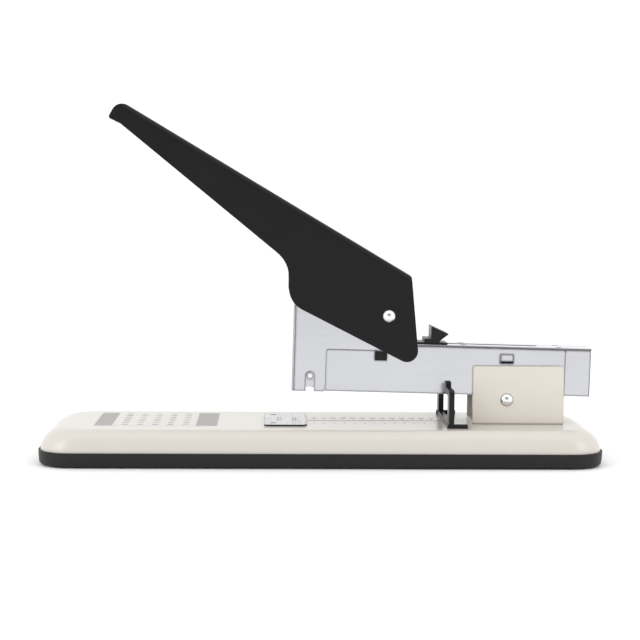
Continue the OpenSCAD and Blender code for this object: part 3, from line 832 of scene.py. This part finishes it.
class Repeats:
    """The geometry trees that the stapler's pieces share."""

    def __init__(self) -> None:
        """Builds the three trees."""
        self.wire = self._wire()
        self.row = self._row()
        self.spots = self._spots()

    @staticmethod
    def _wire() -> NodeTree:
        """Sweeps a round section along a path of edges.

        Returns:
            The tree.
        """
        made = NodeTree("wire along a path")
        made.add_input("Radius", "NodeSocketFloat")
        made.add_input("Sides", "NodeSocketInt")
        path = made.node("GeometryNodeMeshToCurve", Mesh=made.given("Start"))
        ring = made.node(
            "GeometryNodeCurvePrimitiveCircle", Radius=made.given("Radius"), Resolution=made.given("Sides")
        )
        tube = made.node(
            "GeometryNodeCurveToMesh", Curve=path.outputs[0], Profile_Curve=ring.outputs[0], Fill_Caps=True
        )
        soft = made.node("GeometryNodeSetShadeSmooth", Geometry=tube.outputs[0])
        return made.close(soft.outputs[0])

    @staticmethod
    def _row() -> NodeTree:
        """Repeats a pattern piece along a straight row.

        Returns:
            The tree.
        """
        made = NodeTree("row of one piece")
        made.add_input("Count", "NodeSocketInt")
        made.add_input("First", "NodeSocketVector")
        made.add_input("Step", "NodeSocketVector")
        made.add_input("Jitter", "NodeSocketFloat")
        made.add_input("Seed", "NodeSocketInt")
        line = made.node(
            "GeometryNodeMeshLine", Count=made.given("Count"), Start_Location=made.given("First"),
            Offset=made.given("Step"),
        )
        chance = made.tree.nodes.new("FunctionNodeRandomValue")
        chance.data_type = "FLOAT"
        spread = made.node("ShaderNodeMath")
        spread.operation = "SUBTRACT"
        spread.inputs[0].default_value = 1.0
        made.tree.links.new(made.given("Jitter"), spread.inputs[1])
        made.tree.links.new(spread.outputs[0], chance.inputs[2])
        chance.inputs[3].default_value = 1.0
        made.tree.links.new(made.given("Seed"), chance.inputs["Seed"])
        size = made.node("ShaderNodeCombineXYZ", X=1.0, Z=1.0)
        made.tree.links.new(chance.outputs[1], size.inputs["Y"])
        copies = made.node(
            "GeometryNodeInstanceOnPoints", Points=line.outputs[0], Instance=made.given("Start"),
            Scale=size.outputs[0],
        )
        return made.close(copies.outputs[0])

    @staticmethod
    def _spots() -> NodeTree:
        """Repeats a pattern piece at the points of another mesh.

        Returns:
            The tree.
        """
        made = NodeTree("one piece at many spots")
        made.add_input("Spots", "NodeSocketObject")
        where = made.node("GeometryNodeObjectInfo", Object=made.given("Spots"))
        copies = made.node(
            "GeometryNodeInstanceOnPoints", Points=where.outputs["Geometry"], Instance=made.given("Start")
        )
        return made.close(copies.outputs[0])

    def along(
        self, name: str, points: Sequence[Vector], diameter: float, finish: Finish, sides: int = 12
    ) -> bpy.types.Object:
        """Makes a wire along points.

        Args:
            name: The wire's name.
            points: Its middle line, in metres.
            diameter: Its diameter in millimetres.
            finish: Its finish.
            sides: Faces around it.

        Returns:
            The wire.
        """
        mesh = bpy.data.meshes.new(name)
        mesh.from_pydata([tuple(p) for p in points], [(i, i + 1) for i in range(len(points) - 1)], [])
        thing = Maker.piece(name, mesh)
        return self.wire.run(thing, Finish=finish.material(), Radius=diameter / 2 * MM, Sides=sides)

    def in_row(
        self, thing: bpy.types.Object, finish: Finish, count: int, first: Vector, step: Vector,
        jitter: float = 0.0, seed: int = 1,
    ) -> bpy.types.Object:
        """Repeats a piece made round the origin along a row.

        Args:
            thing: The pattern piece, which becomes the row.
            finish: Its finish.
            count: How many.
            first: Place of the first, in metres.
            step: From one to the next, in metres.
            jitter: Most that a copy is shortened along Y, as a share.
            seed: Seed of the shortening.

        Returns:
            The row.
        """
        return self.row.run(
            thing, Finish=finish.material(), Count=count, First=tuple(first), Step=tuple(step),
            Jitter=jitter, Seed=seed,
        )

    def at(
        self, thing: bpy.types.Object, finish: Finish, spots: Iterable[Vector]
    ) -> bpy.types.Object:
        """Repeats a piece made round the origin at given places.

        Args:
            thing: The pattern piece, which becomes the set.
            finish: Its finish.
            spots: The places, in metres.

        Returns:
            The set.
        """
        mesh = bpy.data.meshes.new("spots")
        mesh.from_pydata([tuple(s) for s in spots], [], [])
        marks = Maker.piece("spots", mesh)
        self.spots.run(thing, Finish=finish.material(), Spots=marks)
        bpy.data.objects.remove(marks)
        return thing


# ---------------------------------------------------------------------------
# Base
# ---------------------------------------------------------------------------


@dataclass
class Base:
    """The cover, the tray and what holds them together."""

    repeats: Repeats
    length: float = 276.4
    width: float = 78.3
    top: float = 18.3
    tray_height: float = 7.5
    corner: float = 17.0
    rim: float = 1.1
    sheet: float = 1.2
    end_fall: float = 12.0
    side_fall: float = 6.2
    corner_fall: float = 3.0
    skirt_bottom: float = 4.1
    slot_front: float = -6.8
    slot_back: float = 65.0
    slot_width: float = 1.8
    boss: tuple[float, float] = (108.2, 22.0)
    foot: tuple[float, float] = (122.2, 26.15)

    def cover_rings(self, inset: float, steps: int = 20) -> list[list[Vector]]:
        """Rings of the cover from its skirt to its flat top.

        Args:
            inset: How far inside the outer face, in millimetres.
            steps: Rings over the shoulder.

        Returns:
            The rings, in metres.
        """
        edge = self.rim + inset
        radius = self.corner - edge
        rise = self.top - inset - self.tray_height
        rings = [Shapes.plan(self.length - 2 * edge, self.width - 2 * edge, radius, self.skirt_bottom)]
        for i in range(steps + 1):
            angle = math.radians(90 * i / steps)
            lean = 1 - math.cos(angle)
            dx = edge + self.end_fall * lean
            dy = edge + self.side_fall * lean
            height = self.tray_height + rise * math.sin(angle)
            rings.append(
                Shapes.plan(
                    self.length - 2 * dx, self.width - 2 * dy, radius - self.corner_fall * lean, height
                )
            )
        return rings

    def cover(self) -> bpy.types.Object:
        """The pressed cover, one closed shell with the guide's slot cut through it.

        Returns:
            The cover.
        """
        work = bmesh.new()
        outer, inner = self.cover_rings(0.0), self.cover_rings(self.sheet)
        Shapes.loft(work, list(reversed(inner)) + outer)
        thing = Maker.from_bmesh("cover", work)
        work = bmesh.new()
        half = self.slot_width / 2
        Shapes.box(work, mm(self.slot_front, -half, 10), mm(self.slot_back, half, 30))
        cutter = Maker.from_bmesh("slot cutter", work)
        cut = thing.modifiers.new("slot", "BOOLEAN")
        cut.operation, cut.object, cut.solver = "DIFFERENCE", cutter, "EXACT"
        Maker.settled(thing)
        bpy.data.objects.remove(cutter)
        return Maker.evened(Maker.smoothed(thing, 40))

    def feet(self) -> bpy.types.Object:
        """Four moulded rubber feet with a rounded rim and a dished middle.

        Returns:
            The feet.
        """
        work = bmesh.new()
        profile = [(6.0, 1.6), (6.0, 0.35), (5.8, 0.08), (5.4, 0.0), (3.4, 0.0), (3.1, 0.15), (2.8, 0.25)]
        Shapes.turned(work, profile, Matrix.Identity(4))
        pattern = Maker.from_bmesh("feet", work)
        x, y = self.foot
        return self.repeats.at(
            pattern, PALETTE.rubber, [mm(sx * x, sy * y, 0) for sx in (-1, 1) for sy in (-1, 1)]
        )

    def screws(self) -> bpy.types.Object:
        """Four pan-head screws with a crossed recess, seen from below.

        Returns:
            The screws.
        """
        work = bmesh.new()
        profile = [(1.5, 12.6), (1.5, 1.8), (3.0, 1.8), (3.0, 1.2), (2.8, 0.95), (2.2, 0.85), (0.9, 0.8)]
        Shapes.turned(work, profile, Matrix.Identity(4), 28)
        pattern = Maker.from_bmesh("tray screws", work)
        work = bmesh.new()
        for a, b in ((1.6, 0.35), (0.35, 1.6)):
            Shapes.box(work, mm(-a, -b, 0.0), mm(a, b, 1.6))
        cutter = Maker.from_bmesh("cross cutter", work)
        cut = pattern.modifiers.new("cross", "BOOLEAN")
        cut.operation, cut.object, cut.solver, cut.use_self = "DIFFERENCE", cutter, "EXACT", True
        Maker.settled(pattern)
        bpy.data.objects.remove(cutter)
        x, y = self.boss
        self.repeats.at(
            pattern, PALETTE.plain, [mm(sx * x, sy * y, 0) for sx in (-1, 1) for sy in (-1, 1)]
        )
        return Maker.smoothed(pattern)

    def build(self) -> None:
        """Builds and dresses the base."""
        body = Body.BASE
        Maker.mount(self.cover(), body, Slot.CREAM_PAINT, PALETTE.cream, "base_cover")
        tray = Maker.rounded(Maker.merged("base_tray"), 0.25, 2, 40)
        Maker.mount(tray, body, Slot.BLACK_PLASTIC, PALETTE.tray, "base_tray")
        Maker.mount(self.feet(), body, Slot.RUBBER, PALETTE.rubber, "rubber_feet")
        Maker.mount(self.screws(), body, Slot.PLAIN_STEEL, PALETTE.plain, "tray_screws")
        plate = Maker.rounded(Maker.merged("base_stiffener"), 0.2)
        Maker.mount(plate, body, Slot.PLAIN_STEEL, PALETTE.plain, "base_stiffener")


@dataclass
class Print:
    """The depth scale along the slot and the label on the front of the cover."""

    repeats: Repeats
    top: float = 18.3
    blade: float = -13.3
    first: float = 10.0
    step: float = 5.0
    count: int = 13
    digits_y: float = 9.0
    dashes_y: float = -9.0
    label_x: tuple[float, float] = (-112.0, -51.2)
    label_y: tuple[float, float] = (-20.5, 25.0)
    columns: tuple[float, ...] = (-97.0, -89.5, -82.0, -74.5, -67.0)
    rows: int = 7
    row_margin: float = 4.0
    band_margin: float = 0.3
    bands: tuple[float, float] = (8.8, 10.4)
    sunk: float = 0.01
    print_rise: float = 0.085
    thin: float = 0.02

    def slab(self, name: str, size: tuple[float, float], thick: float, corner: float) -> bpy.types.Object:
        """A thin printed patch centred on the origin, bottom at zero.

        Args:
            name: The patch's name.
            size: Length and width in millimetres.
            thick: Thickness in millimetres.
            corner: Radius of its corners in millimetres.

        Returns:
            The patch.
        """
        work = bmesh.new()
        rings = [Shapes.plan(size[0], size[1], corner, z, 3) for z in (0.0, thick)]
        Shapes.loft(work, rings)
        return Maker.from_bmesh(name, work)

    def moved(self, thing: bpy.types.Object, x: float, y: float, z: float) -> bpy.types.Object:
        """Moves an object's vertices by millimetres and returns it."""
        thing.data.transform(Matrix.Translation(mm(x, y, z)))
        return thing

    def numbers(self) -> bpy.types.Object:
        """Depths in millimetres printed beside the slot, one every step.

        Returns:
            The printed numbers.
        """
        work = bmesh.new()
        for i in range(self.count):
            value = self.first + i * self.step
            curve = bpy.data.curves.new("number", "FONT")
            curve.body = f"{value:.0f}"
            curve.size = 3.2 * MM
            curve.align_x, curve.align_y = "CENTER", "CENTER"
            curve.extrude = 0.015 * MM
            curve.resolution_u = 3
            mesh = Maker.flat_text(curve)
            mesh.transform(Matrix.Translation(mm(self.blade + value, self.digits_y, self.top + 0.015)))
            work.from_mesh(mesh)
        mesh = bpy.data.meshes.new("scale numbers")
        work.to_mesh(mesh)
        work.free()
        return Maker.piece("scale numbers", mesh)

    def build(self) -> None:
        """Builds and dresses the print."""
        z = self.top - self.sunk
        start = mm(self.blade + self.first, 0, z)
        step = mm(self.step, 0, 0)
        for name, y, size in (
            ("scale ticks", self.digits_y - 3.6, (0.45, 2.4)),
            ("scale dashes", self.dashes_y, (0.45, 1.8)),
        ):
            tick = self.slab(name, size, 0.04, 0.12)
            self.repeats.in_row(tick, PALETTE.ink, self.count, start + mm(0, y, 0), step)
            Maker.mount(tick, Body.BASE, Slot.CREAM_PAINT, PALETTE.ink)
        Maker.mount(self.numbers(), Body.BASE, Slot.CREAM_PAINT, PALETTE.ink)
        x0, x1 = self.label_x
        y0, y1 = self.label_y
        middle = (y0 + y1) / 2
        sheet = self.moved(self.slab("label", (x1 - x0, y1 - y0), 0.09, 1.2), (x0 + x1) / 2, middle, z)
        Maker.mount(sheet, Body.BASE, Slot.CREAM_PAINT, PALETTE.label)
        face, margin = z + self.print_rise, self.band_margin
        front, rear = self.bands
        for name, low, high in (
            ("label front band", x0 + margin, x0 + margin + front),
            ("label rear band", x1 - margin - rear, x1 - margin),
        ):
            band = self.slab(name, (high - low, y1 - y0 - 2 * margin), self.thin, 1.0)
            self.moved(band, (low + high) / 2, middle, face)
            Maker.mount(band, Body.BASE, Slot.CREAM_PAINT, PALETTE.label_grey)
        pitch = mm(0, (y1 - y0 - 2 * self.row_margin) / (self.rows - 1), 0)
        for i, x in enumerate(self.columns):
            dash = self.slab(f"label column {i + 1}", (3.4 - 0.4 * (i % 2), 1.5), self.thin, 0.3)
            start = mm(x, y0 + self.row_margin, face)
            self.repeats.in_row(dash, PALETTE.ink, self.rows, start, pitch, 0.5, 11 + i)
            Maker.mount(dash, Body.BASE, Slot.CREAM_PAINT, PALETTE.ink)


# ---------------------------------------------------------------------------
# Parts kept from the frame, with rounded edges
# ---------------------------------------------------------------------------


@dataclass(frozen=True)
class Part:
    """How one frame node is finished."""

    node: str
    body: Body
    slot: Slot
    finish: Finish
    rounding: float = 0.2
    segments: int = 2
    limit: float = 34.0


@dataclass
class Fittings:
    """Pressed, turned and moulded parts whose shape the frame already gives."""

    parts: list[Part] = field(default_factory=list)

    def build(self) -> None:
        """Copies each node, rounds its edges and dresses it."""
        for part in self.parts:
            thing = Maker.merged(part.node)
            if part.rounding:
                Maker.rounded(thing, part.rounding, part.segments, part.limit)
            else:
                Maker.smoothed(thing)
            Maker.mount(thing, part.body, part.slot, part.finish, part.node)


def fittings() -> list[Part]:
    """Every part that is kept, grouped by sub-assembly.

    Returns:
        The parts.
    """
    pal = PALETTE
    base, head, handle = Body.BASE, Body.HEAD, Body.HANDLE
    return [
        Part("anvil_plate", base, Slot.BRIGHT_STEEL, pal.anvil, 0.15),
        Part("anvil_rivets", base, Slot.PLAIN_STEEL, pal.plain, 0.2),
        Part("pivot_bracket", base, Slot.CREAM_PAINT, pal.cream_bracket, 0.45, 3),
        Part("bracket_screws", base, Slot.PLAIN_STEEL, pal.plain, 0.4),
        Part("head_pivot_pin", base, Slot.CHROME, pal.pin_chrome, 0.0),
        Part("outer_frame", head, Slot.CHROME, pal.frame_chrome, 0.3),
        Part("head_channel", head, Slot.CHROME, pal.frame_chrome, 0.3),
        Part("front_plate", head, Slot.CHROME, pal.chrome, 0.25),
        Part("top_cover", head, Slot.CHROME, pal.chrome, 0.25),
        Part("cover_rivets", head, Slot.PLAIN_STEEL, pal.plain, 0.3),
        Part("magazine", head, Slot.BRIGHT_STEEL, pal.bright, 0.15),
        Part("magazine_studs", head, Slot.BRIGHT_STEEL, pal.stud_chrome, 0.2),
        Part("staple_rail", head, Slot.BRIGHT_STEEL, pal.bright, 0.2),
        Part("guide_rod", head, Slot.BRIGHT_STEEL, pal.bright, 0.2),
        Part("rod_holder", head, Slot.BLACK_PLASTIC, pal.plastic, 0.2),
        Part("rear_stop", head, Slot.CHROME, pal.chrome, 0.2),
        Part("pusher_block", Body.PUSHER, Slot.BLACK_PLASTIC, pal.plastic, 0.25),
        Part("pusher_knob", Body.PUSHER, Slot.BLACK_PLASTIC, pal.plastic, 0.3, 3),
        Part("handle_shell", handle, Slot.BLACK_PAINT, pal.handle, 0.4, 3),
        Part("press_lever", handle, Slot.PLAIN_STEEL, pal.plain, 0.25),
        Part("press_axle", handle, Slot.BRIGHT_STEEL, pal.bright, 0.2),
        Part("press_roller", handle, Slot.BRIGHT_STEEL, pal.bright, 0.3),
        Part("handle_pivot_pin", handle, Slot.CHROME, pal.pin_chrome, 0.0),
        Part("pivot_bushes", head, Slot.BRASS, pal.brass, 0.15),
        Part("pivot_washers", head, Slot.PLAIN_STEEL, pal.plain, 0.15),
        Part("spring_anchor", head, Slot.PLAIN_STEEL, pal.plain, 0.2),
        Part("driver_block", Body.DRIVER, Slot.PLAIN_STEEL, pal.plain, 0.25),
        Part("driver_blade", Body.DRIVER, Slot.BRIGHT_STEEL, pal.bright, 0.1),
        Part("driver_rivets", Body.DRIVER, Slot.PLAIN_STEEL, pal.plain, 0.15),
        Part("paper_guide", Body.GUIDE, Slot.BLACK_PLASTIC, pal.plastic, 0.35, 3),
        Part("guide_key", Body.GUIDE, Slot.PLAIN_STEEL, pal.plain, 0.1),
        Part("guide_washer", Body.GUIDE, Slot.BRASS, pal.brass, 0.1),
        Part("guide_clamp", Body.GUIDE, Slot.PLAIN_STEEL, pal.plain, 0.2),
    ]


# ---------------------------------------------------------------------------
# Springs and staples
# ---------------------------------------------------------------------------


@dataclass
class HeadFrame:
    """The tilted frame of the head, whose origin is the head pivot."""

    pivot: tuple[float, float, float] = (92.5, 0.0, 30.6)
    tilt: float = 1.3
    lever: tuple[float, float] = (-60.2, 40.1)

    def place(self, x: float = 0.0, y: float = 0.0, z: float = 0.0) -> Matrix:
        """Where a point of the head is, in metres.

        Args:
            x: Along the head in millimetres, rear positive.
            y: Across the head in millimetres.
            z: Above the pivot in millimetres.

        Returns:
            The place and the head's tilt.
        """
        turn = Matrix.Rotation(math.radians(self.tilt), 4, "Y")
        return Matrix.Translation(mm(*self.pivot)) @ turn @ Matrix.Translation(mm(x, y, z))


@dataclass
class Springs:
    """The four wire springs."""

    repeats: Repeats
    frame: HeadFrame = field(default_factory=HeadFrame)
    bracket_top: float = 20.15
    lift_x: float = -11.4
    crown: float = 15.2
    lift_length: float = 12.9
    lift_travel: float = 2.1
    driver_x: float = -94.2
    driver_seat: float = 1.85
    driver_length: float = 22.26
    driver_travel: float = 14.0
    pusher_x: float = -30.95
    rod_height: float = 4.8
    pusher_length: float = 71.2
    pusher_travel: float = 50.0

    @staticmethod
    def coil(
        radius: float, length: float, wire: float, turns: float, steps: int = 28
    ) -> list[tuple[float, float, float]]:
        """Points of a compression coil about Z, with a nearly flat turn at each end.

        Args:
            radius: Radius of the coil's middle line in millimetres.
            length: Whole length in millimetres.
            wire: Diameter of the wire in millimetres.
            turns: Number of turns.
            steps: Points in each turn.

        Returns:
            The points in millimetres.
        """
        points = []
        for i in range(int(turns * steps) + 1):
            a = i / steps
            share = min(max((a - 1) / (turns - 2), 0.0), 1.0)
            wound = wire * 1.05 * (min(a, 1.0) + max(a - turns + 1, 0.0))
            height = wire / 2 + wound + share * (length - wire * 3.1)
            points.append((radius * math.cos(math.tau * a), radius * math.sin(math.tau * a), height))
        return points

    def make(
        self, name: str, points: Iterable[tuple[float, float, float]], place: Matrix, wire: float
    ) -> bpy.types.Object:
        """Sweeps a spring's wire and gives it its place.

        Args:
            name: The spring's name.
            points: Its middle line in millimetres.
            place: Where it goes, in metres.
            wire: Diameter of the wire in millimetres.

        Returns:
            The spring.
        """
        spots = [place @ mm(*p) for p in points]
        return self.repeats.along(name, spots, wire, PALETTE.spring)

    @staticmethod
    def shortened(
        thing: bpy.types.Object, joint: str, end: Matrix, length: float, travel: float
    ) -> bpy.types.Object:
        """Gives the coil a mesh of its own.

        Args:
            thing: The coil.
            joint: The joint that presses it; not used.
            end: Its fixed end, with Z along the coil; not used.
            length: Its length at rest in millimetres; not used.
            travel: How far it is pressed, in millimetres; not used.

        Returns:
            The same object.
        """
        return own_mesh(thing)

    def pusher(self) -> bpy.types.Object:
        """The long coil round the guide rod, behind the pusher."""
        length = self.pusher_length
        along = Matrix.Rotation(math.radians(90), 4, "Y")
        place = self.frame.place(self.pusher_x, 0, self.crown + self.rod_height) @ along
        thing = self.make("pusher spring", self.coil(3.0, length, 0.7, 18), place, 0.7)
        end = place @ Matrix.Translation(mm(0, 0, length))
        return self.shortened(thing, "pusher_slide", end, length, self.pusher_travel)

    def driver(self) -> bpy.types.Object:
        """The light coil that lifts the driver."""
        length = self.driver_length
        place = self.frame.place(self.driver_x, 0, self.crown + self.driver_seat)
        thing = self.make("driver spring", self.coil(1.9, length, 0.5, 10), place, 0.5)
        return self.shortened(thing, "driver_slide", place, length, self.driver_travel)

    def lift(self) -> bpy.types.Object:
        """The coil between the bracket and the head."""
        length = self.lift_length
        place = Matrix.Translation(mm(self.frame.pivot[0] + self.lift_x, 0, self.bracket_top))
        thing = self.make("lift spring", self.coil(2.8, length, 0.8, 7), place, 0.8)
        return self.shortened(thing, "head_swing", place, length, self.lift_travel)

    def handle(self) -> bpy.types.Object:
        """The torsion coil on the handle's pin, with a leg at each end.

        Returns:
            The spring.
        """
        radius, length, leg = 3.5, 7.0, 20.05
        foot = Vector((-10.0, -8.35))
        start = math.atan2(foot.y, foot.x) + math.acos(radius / foot.length)
        steps = 150
        points = [(foot.x, length / 2, foot.y)]
        for i in range(steps + 1):
            angle = start + (5 * math.tau - start) * i / steps
            depth = length / 2 - length * i / steps
            points.append((radius * math.cos(angle), depth, radius * math.sin(angle)))
        points.append((radius, -length / 2, leg))
        x, z = self.frame.lever
        return self.make("handle spring", points, self.frame.place(x, 0, z), 0.8)

    def build(self) -> None:
        """Builds and dresses the springs."""
        slot, finish = Slot.SPRING_STEEL, PALETTE.spring
        Maker.mount(self.lift(), Body.BASE, slot, finish, "lift_spring")
        Maker.mount(self.pusher(), Body.HEAD, slot, finish, "pusher_spring")
        Maker.mount(self.driver(), Body.HEAD, slot, finish, "driver_spring")
        Maker.mount(self.handle(), Body.HEAD, slot, finish, "handle_spring")


@dataclass
class Staples:
    """The strip of staples in the magazine."""

    repeats: Repeats
    frame: HeadFrame = field(default_factory=HeadFrame)
    width: float = 13.0
    wire: float = 1.0
    leg: float = 10.8
    front: float = -105.1
    back: float = -46.05
    floor: float = 4.4
    gap: float = 0.05

    def staple(self) -> bpy.types.Object:
        """One staple round the origin, its wire flattened where it meets the next.

        Returns:
            The staple.
        """
        half, bend, thick = (self.width - self.wire) / 2, 0.9, self.wire / 2
        line = [(Vector((-half, 0.0)), Vector((-1.0, 0.0)))]
        for side, start in ((-1, 180), (1, 90)):
            centre = Vector((side * (half - bend), self.leg - thick - bend))
            for i in range(5):
                angle = math.radians(start - 90 * i / 4)
                out = Vector((math.cos(angle), math.sin(angle)))
                line.append((centre + out * bend, out))
        line.append((Vector((half, 0.0)), Vector((1.0, 0.0))))
        deep = self.wire / 2 - self.gap / 2
        rings = []
        for spot, out in line:
            ring = []
            for push, along in (
                (thick, deep - 0.15), (thick - 0.15, deep), (0.15 - thick, deep), (-thick, deep - 0.15),
                (-thick, 0.15 - deep), (0.15 - thick, -deep), (thick - 0.15, -deep), (thick, 0.15 - deep),
            ):
                flat = spot + out * push
                ring.append(mm(along, flat.x, flat.y))
            rings.append(ring)
        work = bmesh.new()
        Shapes.loft(work, rings)
        made = Maker.from_bmesh("staple strip", work)
        made.data.transform(Matrix.Rotation(math.radians(self.frame.tilt), 4, "Y"))
        return made

    def build(self) -> None:
        """Builds and dresses the strip."""
        count = round((self.back - self.front) / self.wire)
        pitch = (self.back - self.front) / count
        first = self.frame.place(self.front + pitch / 2, 0, self.floor).translation
        second = self.frame.place(self.front + 1.5 * pitch, 0, self.floor).translation
        strip = self.repeats.in_row(self.staple(), PALETTE.staple, count, first, second - first)
        Maker.smoothed(strip)
        Maker.mount(strip, Body.HEAD, Slot.BRIGHT_STEEL, PALETTE.staple, "staple_strip")


# ---------------------------------------------------------------------------
# Studio
# ---------------------------------------------------------------------------


@dataclass
class Studio:
    """Camera, floor and lights."""

    eye: tuple[float, float, float] = (-0.025178, -0.765961, 0.128257)
    yaw: float = 0.032
    pitch: float = 0.077
    roll: float = 0.008
    lens: float = 86.12
    light: float = 1.11
    dim_way: tuple[float, float, float] = (0.0, -0.906, 0.423)
    dim_spread: tuple[float, float] = (0.86, 0.95)
    dim_light: float = 0.4

    def camera(self) -> None:
        """Sets up the camera at the side of the stapler, a little above it."""
        ahead = Vector((
            math.sin(self.yaw) * math.cos(self.pitch), math.cos(self.yaw) * math.cos(self.pitch),
            -math.sin(self.pitch),
        ))
        right = Vector((math.cos(self.yaw), -math.sin(self.yaw), 0.0))
        up = right.cross(ahead)
        across = right * math.cos(self.roll) + up * math.sin(self.roll)
        above = up * math.cos(self.roll) - right * math.sin(self.roll)
        data = bpy.data.cameras.new("camera")
        data.lens, data.sensor_width, data.sensor_fit = self.lens, 36.0, "HORIZONTAL"
        data.clip_start = 0.01
        thing = bpy.data.objects.new("camera", data)
        turn = Matrix((across, above, -ahead)).transposed().to_4x4()
        thing.matrix_world = Matrix.Translation(Vector(self.eye)) @ turn
        bpy.context.scene.collection.objects.link(thing)
        bpy.context.scene.camera = thing

    def floor(self) -> None:
        """Lays a plain pale floor."""
        work = bmesh.new()
        Shapes.box(work, mm(-6000, -6000, -20), mm(6000, 6000, 0))
        thing = Maker.from_bmesh("floor", work)
        graph = Graph("pale floor")
        graph.set(Base_Color=(0.985, 0.985, 0.985, 1.0), Roughness=0.9, Specular_IOR_Level=0.1)
        thing.data.materials.append(graph.material)

    def lamp(
        self, name: str, power: float, size: tuple[float, float], place: tuple[float, float, float],
        aim: tuple[float, float, float] = (0.0, 0.0, 0.06),
    ) -> None:
        """Adds a soft rectangular light.

        Args:
            name: The light's name.
            power: Its power in watts.
            size: Its width and height in metres.
            place: Where it stands.
            aim: What it points at.
        """
        data = bpy.data.lights.new(name, "AREA")
        data.shape, data.energy = "RECTANGLE", power
        data.size, data.size_y = size
        thing = bpy.data.objects.new(name, data)
        thing.location = place
        thing.rotation_euler = (Vector(aim) - Vector(place)).to_track_quat("-Z", "Y").to_euler()
        bpy.context.scene.collection.objects.link(thing)

    def world(self) -> None:
        """Fills the room with pale light, a little dimmer above and behind the camera."""
        world = bpy.data.worlds.new("pale room")
        world.use_nodes = True
        tree = world.node_tree
        background = tree.nodes["Background"]
        background.inputs["Strength"].default_value = self.light
        near = tree.nodes.new("ShaderNodeVectorMath")
        near.operation = "DOT_PRODUCT"
        near.inputs[1].default_value = self.dim_way
        tree.links.new(tree.nodes.new("ShaderNodeTexCoord").outputs["Generated"], near.inputs[0])
        fade = tree.nodes.new("ShaderNodeMapRange")
        fade.interpolation_type = "SMOOTHSTEP"
        fade.inputs["From Min"].default_value, fade.inputs["From Max"].default_value = self.dim_spread
        fade.inputs["To Min"].default_value, fade.inputs["To Max"].default_value = 1.0, self.dim_light
        tree.links.new(near.outputs["Value"], fade.inputs["Value"])
        tree.links.new(fade.outputs["Result"], background.inputs["Color"])
        bpy.context.scene.world = world
        bpy.context.scene.view_settings.view_transform = "Standard"

    def build(self) -> None:
        """Sets up the whole studio."""
        self.camera()
        self.floor()
        self.world()
        self.lamp("top softbox", 0.4, (1.2, 0.9), (0.0, 0.15, 1.1))
        self.lamp("front softbox", 2.0, (1.8, 0.6), (-0.1, -1.1, 1.35))
        self.lamp("left softbox", 3.4, (0.7, 0.7), (-1.0, -0.8, 0.4))
        self.lamp("right softbox", 2.2, (0.6, 0.7), (1.0, -0.8, 0.4))


def main() -> None:
    """Builds the stapler in order."""
    logging.basicConfig(level=logging.INFO, format="%(name)s: %(message)s")
    Studio().build()
    repeats = Repeats()
    Base(repeats).build()
    Print(repeats).build()
    Fittings(fittings()).build()
    Springs(repeats).build()
    Staples(repeats).build()


if __name__ == "__main__":
    main()
